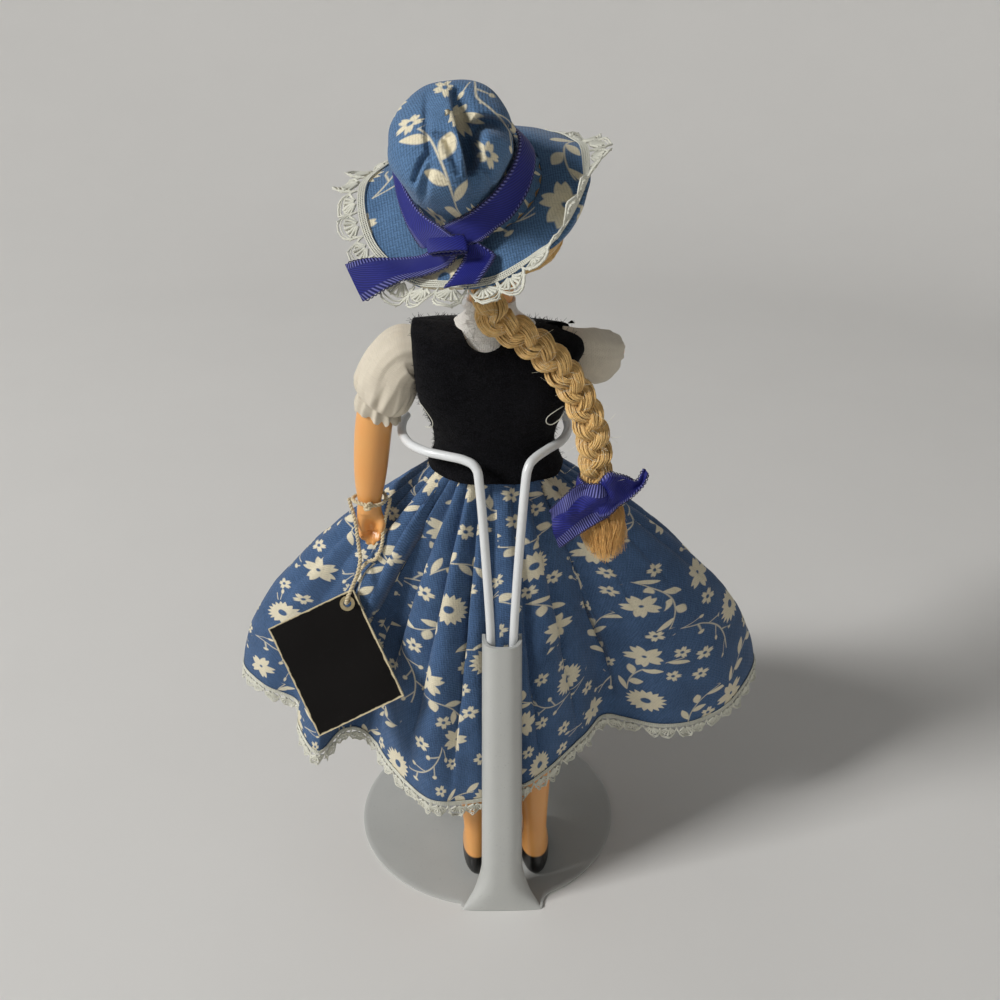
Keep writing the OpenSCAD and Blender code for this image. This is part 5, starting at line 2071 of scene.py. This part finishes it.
@dataclass
class Bonnet:
    """Bonnet of the same print, with lace round its brim and a ribbon tied round its crown."""

    brim_in: float = 12.4
    brim_out: float = 24.0
    crown_reach: float = 27.0
    lace_steps: int = 720
    lace_size: Pair = (5.4, 5.6)
    knot: Triple = (7.6, 16.2, 4.9)
    thick: float = 0.7
    across: ClassVar[Vector] = Vector((-0.97, 0.168, -0.175))
    upward: ClassVar[Vector] = Vector((-0.221, -0.91, 0.352))
    outward: ClassVar[Vector] = Vector((-0.065, 0.635, 0.77))
    crown_rows: Points = (
        (0, 12.9), (1.8, 12.1), (4.5, 11), (7.8, 10.8), (11.2, 11.4), (14.3, 11.7), (16.8, 10.8),
        (18.8, 8.7), (20.2, 5.6), (20.8, 2.4), (20.95, 0.3),
    )
    creases: tuple[Crease, ...] = (
        Crease((
            (-5.5, 11.6, -0.6), (-5.5, 7.7, -1.3), (-4.6, 1.9, -1.7), (-3.1, -3.3, -1.4), (-2.5, -5.4, -0.9),
            (-1, -6.4, 0),
        ), 0.9, 1.6),
        Crease((
            (-3.6, 10.1, 2), (-3, 6.4, 4.8), (-2.2, 3.2, 7.8), (-1.6, 0.7, 9), (-1.3, -1.3, 8),
            (-1.6, -3.3, 5), (-1.2, -4.6, 1.8),
        ), 1.9, 1.7, 3.4),
        Crease((
            (-1.5, 1.2, 8), (-0.3, 3.9, 7), (1.2, 5.3, 6), (3, 5.4, 5), (4.9, 5, 4), (7, 4.5, 3),
        ), 0.9, 1.9, 3.0),
        Crease(((-8.9, 11, 0.4), (-8.8, 7.3, 0.9), (-8.7, 3.9, 1.0), (-8.1, -1.3, 1.4)), 0.8, 0.6),
        Crease(((-7.1, 2.4, 0.9), (-5.9, 1.8, 1.7), (-5.1, -0.4, 1.9), (-3.7, -4.2, 1.2)), 0.7, 0.5),
        Crease(((-8.2, -0.7, 1.4), (-9.6, -2.4, 1.8), (-10.8, -4.8, 1.4)), 0.7, 0.6),
        Crease(((-8, -3.5, 0.9), (-8.8, -5.1, 1.6), (-9.3, -6.6, 1.8)), 0.8, 0.8),
        Crease(((-3, -5.2, 0.8), (-1.8, -6.5, 1.2), (-0.5, -6.9, 0.8)), 0.6, 0.6),
        Crease(((-1, -2.1, 0.8), (0.9, -2.8, 1.3), (2.2, -3.4, 1.2), (2.9, -4.7, 0.7)), 0.6, 0.5),
    )
    right_strip: tuple[Points, ...] = (
        (
            (5.7, 17.3, 2.6), (3.2, 15.9, 2.8), (1.2, 15.5, 3), (-1.7, 14, 3.2), (-5.7, 11.8, 3.4),
            (-10, 7, 4.8), (-11.8, 1, 5.6),
        ),
        (
            (10.3, 12.5, 3.2), (7.8, 11.6, 4.2), (4.9, 11.6, 5.2), (1.9, 11.6, 6.4), (-3, 10.4, 8.6),
            (-7.6, 6.9, 10.4), (-9.7, 1.6, 10.8),
        ),
    )
    left_strip: tuple[Points, ...] = (
        (
            (14.6, -4.6, 5.4), (15.2, 0.3, 5), (15, 4.5, 4.6), (14.3, 8.8, 4.4), (13.6, 11.5, 4.5),
            (12.9, 13.6, 4.5), (12.2, 15.2, 4.3),
        ),
        (
            (13.4, -3.6, 10.4), (13.6, 0.6, 9.8), (12.9, 4.6, 8.6), (11.2, 9.3, 7.4), (8.2, 12.9, 6.5),
            (6.4, 14.9, 5.7), (4.6, 16.1, 4.9),
        ),
    )
    brim_edge: Points = (
        (1, 0.4), (1.02, 1), (1.01, 1.2), (0.99, 0.4), (0.95, -0.3), (0.89, -1), (0.86, -1.2), (0.87, 0.2),
        (0.93, 4.5), (0.99, 11.5), (1, 16), (1, 17.5), (1, 16), (1, 10), (1, 3),
    )
    tails: tuple[tuple[Points, Points], ...] = (
        (
            ((10, 13.7), (12.6, 14.4), (17.4, 13.5), (23.4, 12.6), (27.7, 12.8)),
            ((5.8, 17.1), (8.5, 18), (13.1, 18.4), (18.5, 18.6), (25.7, 20.6)),
        ),
        (
            ((4.2, 15.8), (5.2, 18.1), (6.2, 19.4), (8.4, 22.3), (9.8, 23.7)),
            ((2.1, 16.1), (-0.2, 17.9), (0.2, 19.5), (1.5, 21.6), (3.9, 24)),
        ),
    )

    def brim_at(self, angle: float, share: float, lift: float = 0.0) -> Vector:
        """Place on the brim in the hat's frame, its right side curled up."""
        reach, fall = Spline(self.brim_edge, closed=True).at(angle / tau % 1.0)
        far = mix(self.brim_in, self.brim_out * reach, share)
        curl = bell((degrees(angle) - 143 + 180) % 360 - 180, 30)
        far += 1.9 * curl * bell(share - 0.78, 0.25)
        z = lift - fall * (max(share, 0.0) ** 1.4 if share < 1 else share)
        z += curl * (1.2 * ease(0.8, 1.1, share) - 2.6 * bell(share - 0.72, 0.24))
        x, y = far * cos(angle), far * sin(angle)
        return Vector((x, y, z + 0.4 * share * cos(9 * angle + 2) + 0.35 * ripple((x, y, 7), 0.25)))

    @staticmethod
    def crown_ring(angle: float, r: float, z: float) -> Vector:
        """Place at a distance from the crown's leaning axis, in the hat's frame."""
        return Vector((r * cos(angle) + 0.2 + 2.2 * ease(0, 9, z), r * sin(angle) + 0.4, z))

    def crown_at(self, angle: float, share: float) -> Vector:
        """Place on the crown in the hat's frame, from its seam to its top."""
        z, r = Spline(self.crown_rows).at(1 - (1 - share) ** 1.3)
        turn = degrees(angle) % 360
        r += 0.8 * bell(turn - 48, 34) - 0.6 * bell(turn - 130, 42)
        r -= 0.25 * (1 + cos(26 * angle)) * (1 - ease(0.0, 0.3, share))
        r += 0.5 * round_ripple(angle, 2, z * 0.12, 1.1) * sin(pi * min(share * 1.1, 1.0))
        place = self.crown_ring(angle, r, z)
        facing = (place - Vector((2, 0.4, 6))).normalized().dot(self.outward)
        if facing < 0:
            return place
        folds = [c.depth(place.dot(self.across), place.dot(self.upward)) for c in self.creases]
        sunk, over = self.outward * (max(folds) + min(folds)), self.across * (0.9 * min(folds))
        return place - (sunk + over) * ease(0.0, 0.35, facing)

    def wall(self, turn: float, z: float, out: float) -> Vector:
        """Place that far out of the crown's wall, in the hat's frame."""
        return self.crown_ring(radians(turn), table_row(self.crown_rows, z)[1] + out, z)

    def crown_flat(self, u: float, v: float) -> Pair:
        """Place on the crown's flat cloth, a round beside the brim's ring."""
        far = self.crown_reach * (1 - v) + 1
        return far * cos(u * tau) + 60, far * sin(u * tau) - 35

    def brim_flat(self, u: float, v: float) -> Pair:
        """Place on the brim's flat cloth, a ring."""
        far = mix(self.brim_in, self.brim_out, v) * 1.06
        return far * cos(u * tau), far * sin(u * tau)

    def build(self) -> None:
        """Make crown, brim, lace and ribbon."""
        crown = skin(lambda u, v: HAT @ self.crown_at(-u * tau, v), 320, 110, self.crown_flat, wrap=True)
        crown = turned_out(filled(crown, lambda place: (HAT.inverted() @ place).z > 10))
        printed = {"finish": Looks.BONNET, "body": "doll", "thick": self.thick, "crease": 180}
        top = piece("bonnet_crown_cloth", crown, hides=["bonnet_crown"], **printed)
        cloth(top, Held.GATHERED, 0.6)
        brim = skin(lambda u, v: HAT @ self.brim_at(-u * tau, v), 300, 26, self.brim_flat, wrap=True)
        ring = piece("bonnet_brim_cloth", brim, hides=["bonnet_brim"], **printed)
        lace = strands("bonnet_lace_strip", self.lace(), [Looks.LACE], "doll", ["bonnet_lace"])
        cloth(ring, Held.STRETCHED, 0.6)
        self.ribbon()

    def lace(self) -> list[Strand]:
        """Ruffled lace along the brim's edge."""
        rail, drop, off = [], [], []
        for angle in turns(self.lace_steps):
            edge, above = self.brim_at(angle, 0.97, 0.45), self.brim_at(angle, 0.85, 0.45)
            down = (edge - above).normalized()
            beside = self.brim_at(angle + 0.02, 0.97, 0.45) - edge
            out = down.cross(beside).normalized()
            if out.z < 0:
                out = -out
            wave = 1.1 * sin(angle * 19 + 2.2 * sin(angle * 3)) + 0.4 * sin(angle * 43)
            wave = 0.4 + wave * (1 - 0.7 * bell(angle - 2.4, 0.9))
            rail.append(HAT @ edge)
            drop.append(HAT.to_3x3() @ down)
            off.append(HAT.to_3x3() @ (out * wave))
        return Lace(rail, drop, off, *self.lace_size, 0.2, 13).threads()

    def ribbon(self) -> None:
        """Band round the crown that comes together in a knot at the back, and its two tails."""
        edges = []
        for right, left, z, out in zip(self.right_strip, self.left_strip, (4.6, 9.2), (1.2, 0.5)):
            front = [self.wall(turn, z, out) for turn in (202, 225, 250, 275, 300, 322)]
            edges.append([HAT @ Vector(p) for p in (*right, *front, *left)])
        ribbons("crown_band", [Ribbon(*edges, cells=180, cup=0.3)], ["bonnet_band"])
        tails = []
        for pair in self.tails:
            sides = (self.tail_edge(line, k) for k, line in enumerate(pair))
            tails.append(Ribbon(*sides, cells=40, cup=0.4))
        ribbons("crown_ribbon_tails", tails, ["bonnet_tails"])
        seat = Vector(self.knot)
        ring = [(3.5 * cos(a), 0.6 * sin(a)) for a in turns(14)]
        wraps = []
        for wide in (-1.6, 1.6):
            wraps.append([HAT @ (seat + Vector((x, wide - 0.2 * x, up))) for x, up in ring])
        ribbons("crown_knot", [Ribbon(*wraps, cells=56, cup=-0.15)], ["bonnet_knot"])

    def tail_edge(self, line: Points, k: int) -> list[Vector]:
        """One of a tail's two edges, which lies on the brim and rises towards its end."""
        edge = []
        for i, (x, y) in enumerate(line):
            turn = atan2(y, x)
            reach = Spline(self.brim_edge, closed=True).at(turn / tau % 1.0)[0] * self.brim_out
            on = self.brim_at(turn, (hypot(x, y) - self.brim_in) / (reach - self.brim_in))
            z = on.z + 1.3 + 1.4 * (i == 0) + 0.35 * i + 0.3 * sin(2.2 * i + 1.5 * k)
            edge.append(HAT @ Vector((x, y, z)))
        return edge


@dataclass
class WristTag:
    """Folded tag on a twisted cord that is tied round the left wrist."""

    wrist: Triple = (29.934, 18.7, 112.0)
    loop: float = 3.5
    ply: float = 0.26
    ply_off: float = 0.23
    twist: float = 1.7
    step: float = 0.2
    diameter: float = 1.0
    route: Points = (
        (34.6, 18.7, 112), (34.3, 18.9, 110.2), (33.8, 19.2, 108.4), (33.3, 19.6, 105), (33, 20.2, 101),
        (32.7, 21, 97.4), (33.3, 22.4, 94.4), (34.5, 23.8, 91.8), (35.6, 24.6, 89.4), (36.2, 24.3, 87.6),
        (36.3, 23.2, 86.6), (36.2, 22, 86.1), (36.1, 20.6, 85.6), (35.8, 19.3, 86.2), (35.2, 18.9, 88.4),
        (34, 19.4, 91.4), (32.6, 20, 94.2), (31, 20.4, 96.2), (29.4, 20.8, 97), (28.3, 21, 98.8),
        (27.4, 20.6, 101.6), (27, 19.8, 105), (26.2, 19.1, 108.4), (25.6, 18.9, 110.2), (25.3, 18.7, 112),
    )

    def twisted(self, path: Path, side: Point) -> list[Strand]:
        """Two plies wound round a path."""
        steps = evenly(path, self.step)
        carried = frames(steps, side)
        made = []
        for k in range(2):
            points = []
            for i, place in enumerate(steps):
                a = tau * (i * self.step / self.twist + k / 2)
                _, u, w = carried[i]
                points.append(place + (u * cos(a) + w * sin(a)) * self.ply_off)
            made.append(Strand(points, self.ply))
        return made

    def build(self, nodes: dict[str, Item]) -> None:
        """Make loop and cord, and finish the tag."""
        looks = {"tag_cover": Looks.CARD, "tag_pages": Looks.PAGES, "tag_eyelet": Looks.EYELET}
        parts = [dress(nodes, name, look) for name, look in looks.items()]
        centre = Vector(self.wrist)
        ring = [(self.loop * 1.08 * cos(a), self.loop * sin(a), 0.3 * sin(2 * a)) for a in turns(60)]
        knot = centre + Vector((0, self.loop + 0.5, 0))
        lump = [(0.75 * sin(a), 0.35 * cos(2 * a), 0.7 * cos(a + 0.6)) for a in turns(24)]
        threads = self.twisted(moved(centre, *ring), (0, 0, 1)) + self.twisted(moved(knot, *lump), (0, 1, 0))
        strands("wrist_cord", threads, [Looks.CORD], "left_arm", ["wrist_loop"], 1)
        path = Spline(self.route).sampled(240)
        cord = strands("tag_twine", self.twisted(path, (0, 1, 0)), [Looks.CORD], "tag", ["tag_cord"], 1)
        route = [tuple(place * MM) for place in path]
        long = distances(path)[-1] * MM
        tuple(route[0])


@dataclass
class Studio:
    """Camera, pale sweep and soft lights."""

    sensor: float = 36.0
    lens: float = 36 * 1.134
    eye: Triple = (4.0, 247.0, 233.0)
    pitch: float = 28.07
    yaw: float = -0.94
    lights: tuple[tuple[str, Triple, float, float], ...] = (
        ("key", (1.35, 0.65, 1.2), 0.45, 30.0),
        ("fill", (-0.5, 0.5, 0.4), 0.7, 0.1),
        ("front", (0.5, -1.7, 1.1), 1.4, 4.6),
    )
    sky: Colour = (0.92, 0.95, 1.0, 1.0)
    sky_power: float = 0.085

    def build(self) -> None:
        """Set up what isn't part of the object."""
        scene = bpy.context.scene
        scene.view_settings.view_transform = "Standard"
        data = bpy.data.cameras.new("camera")
        data.lens, data.sensor_width = self.lens, self.sensor
        data.clip_start, data.clip_end = 0.01, 20.0
        camera = linked("camera", data)
        p, w = radians(self.pitch), radians(self.yaw)
        way = Vector((sin(w) * cos(p), -cos(w) * cos(p), -sin(p)))
        camera.matrix_world = self.aimed(Vector(self.eye) * MM, way)
        scene.camera = camera
        self.sweep()
        for light in self.lights:
            self.light(*light)
        world = bpy.data.worlds.new("studio")
        world.use_nodes = True
        back = world.node_tree.nodes["Background"]
        back.inputs["Color"].default_value = self.sky
        back.inputs["Strength"].default_value = self.sky_power
        scene.world = world

    @staticmethod
    def aimed(place: Point, way: Vector) -> Matrix:
        """Placing of a camera or light that looks along a way."""
        return Matrix.Translation(place) @ way.to_track_quat("-Z", "Y").to_matrix().to_4x4()

    def sweep(self) -> None:
        """Floor that curves up behind the doll on both sides, round the whole object."""

        def surface(u: float, v: float) -> Vector:
            """Place for a pair of shares."""
            far = 3.0 + 1400 * v
            rise = max(far - 500, 0.0)
            return Vector((far * cos(u * tau), far * sin(u * tau), -0.02 + rise**2 / 900))

        bm = filled(skin(surface, 96, 60, wrap=True), lambda place: place.length < 50)
        bmesh.ops.scale(bm, vec=(MM, MM, MM), verts=bm.verts)
        mesh = baked("sweep", bm)
        mesh.shade_smooth()
        mesh.materials.append(Looks.FLOOR.material())
        linked("sweep", mesh)

    def light(self, name: str, place: Point, size: float, power: float) -> None:
        """Square light that looks at the doll's middle."""
        data = bpy.data.lights.new(name, "AREA")
        data.size, data.energy = size, power
        linked(name, data).matrix_world = self.aimed(place, Vector((0, 0, 0.1)) - Vector(place))


def main() -> None:
    """Build the scene's pieces in order."""
    logging.basicConfig(level=logging.INFO, format="%(name)s: %(message)s")
    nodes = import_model()["nodes"]
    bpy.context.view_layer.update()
    Studio().build()
    WristTag().build(nodes)
    DisplayStand().build()
    Figure().build(nodes)
    Arms().build()
    Wig().build()
    Blouse().build()
    Bodice().build()
    Skirt().build()
    Bonnet().build()


if __name__ == "__main__":
    main()
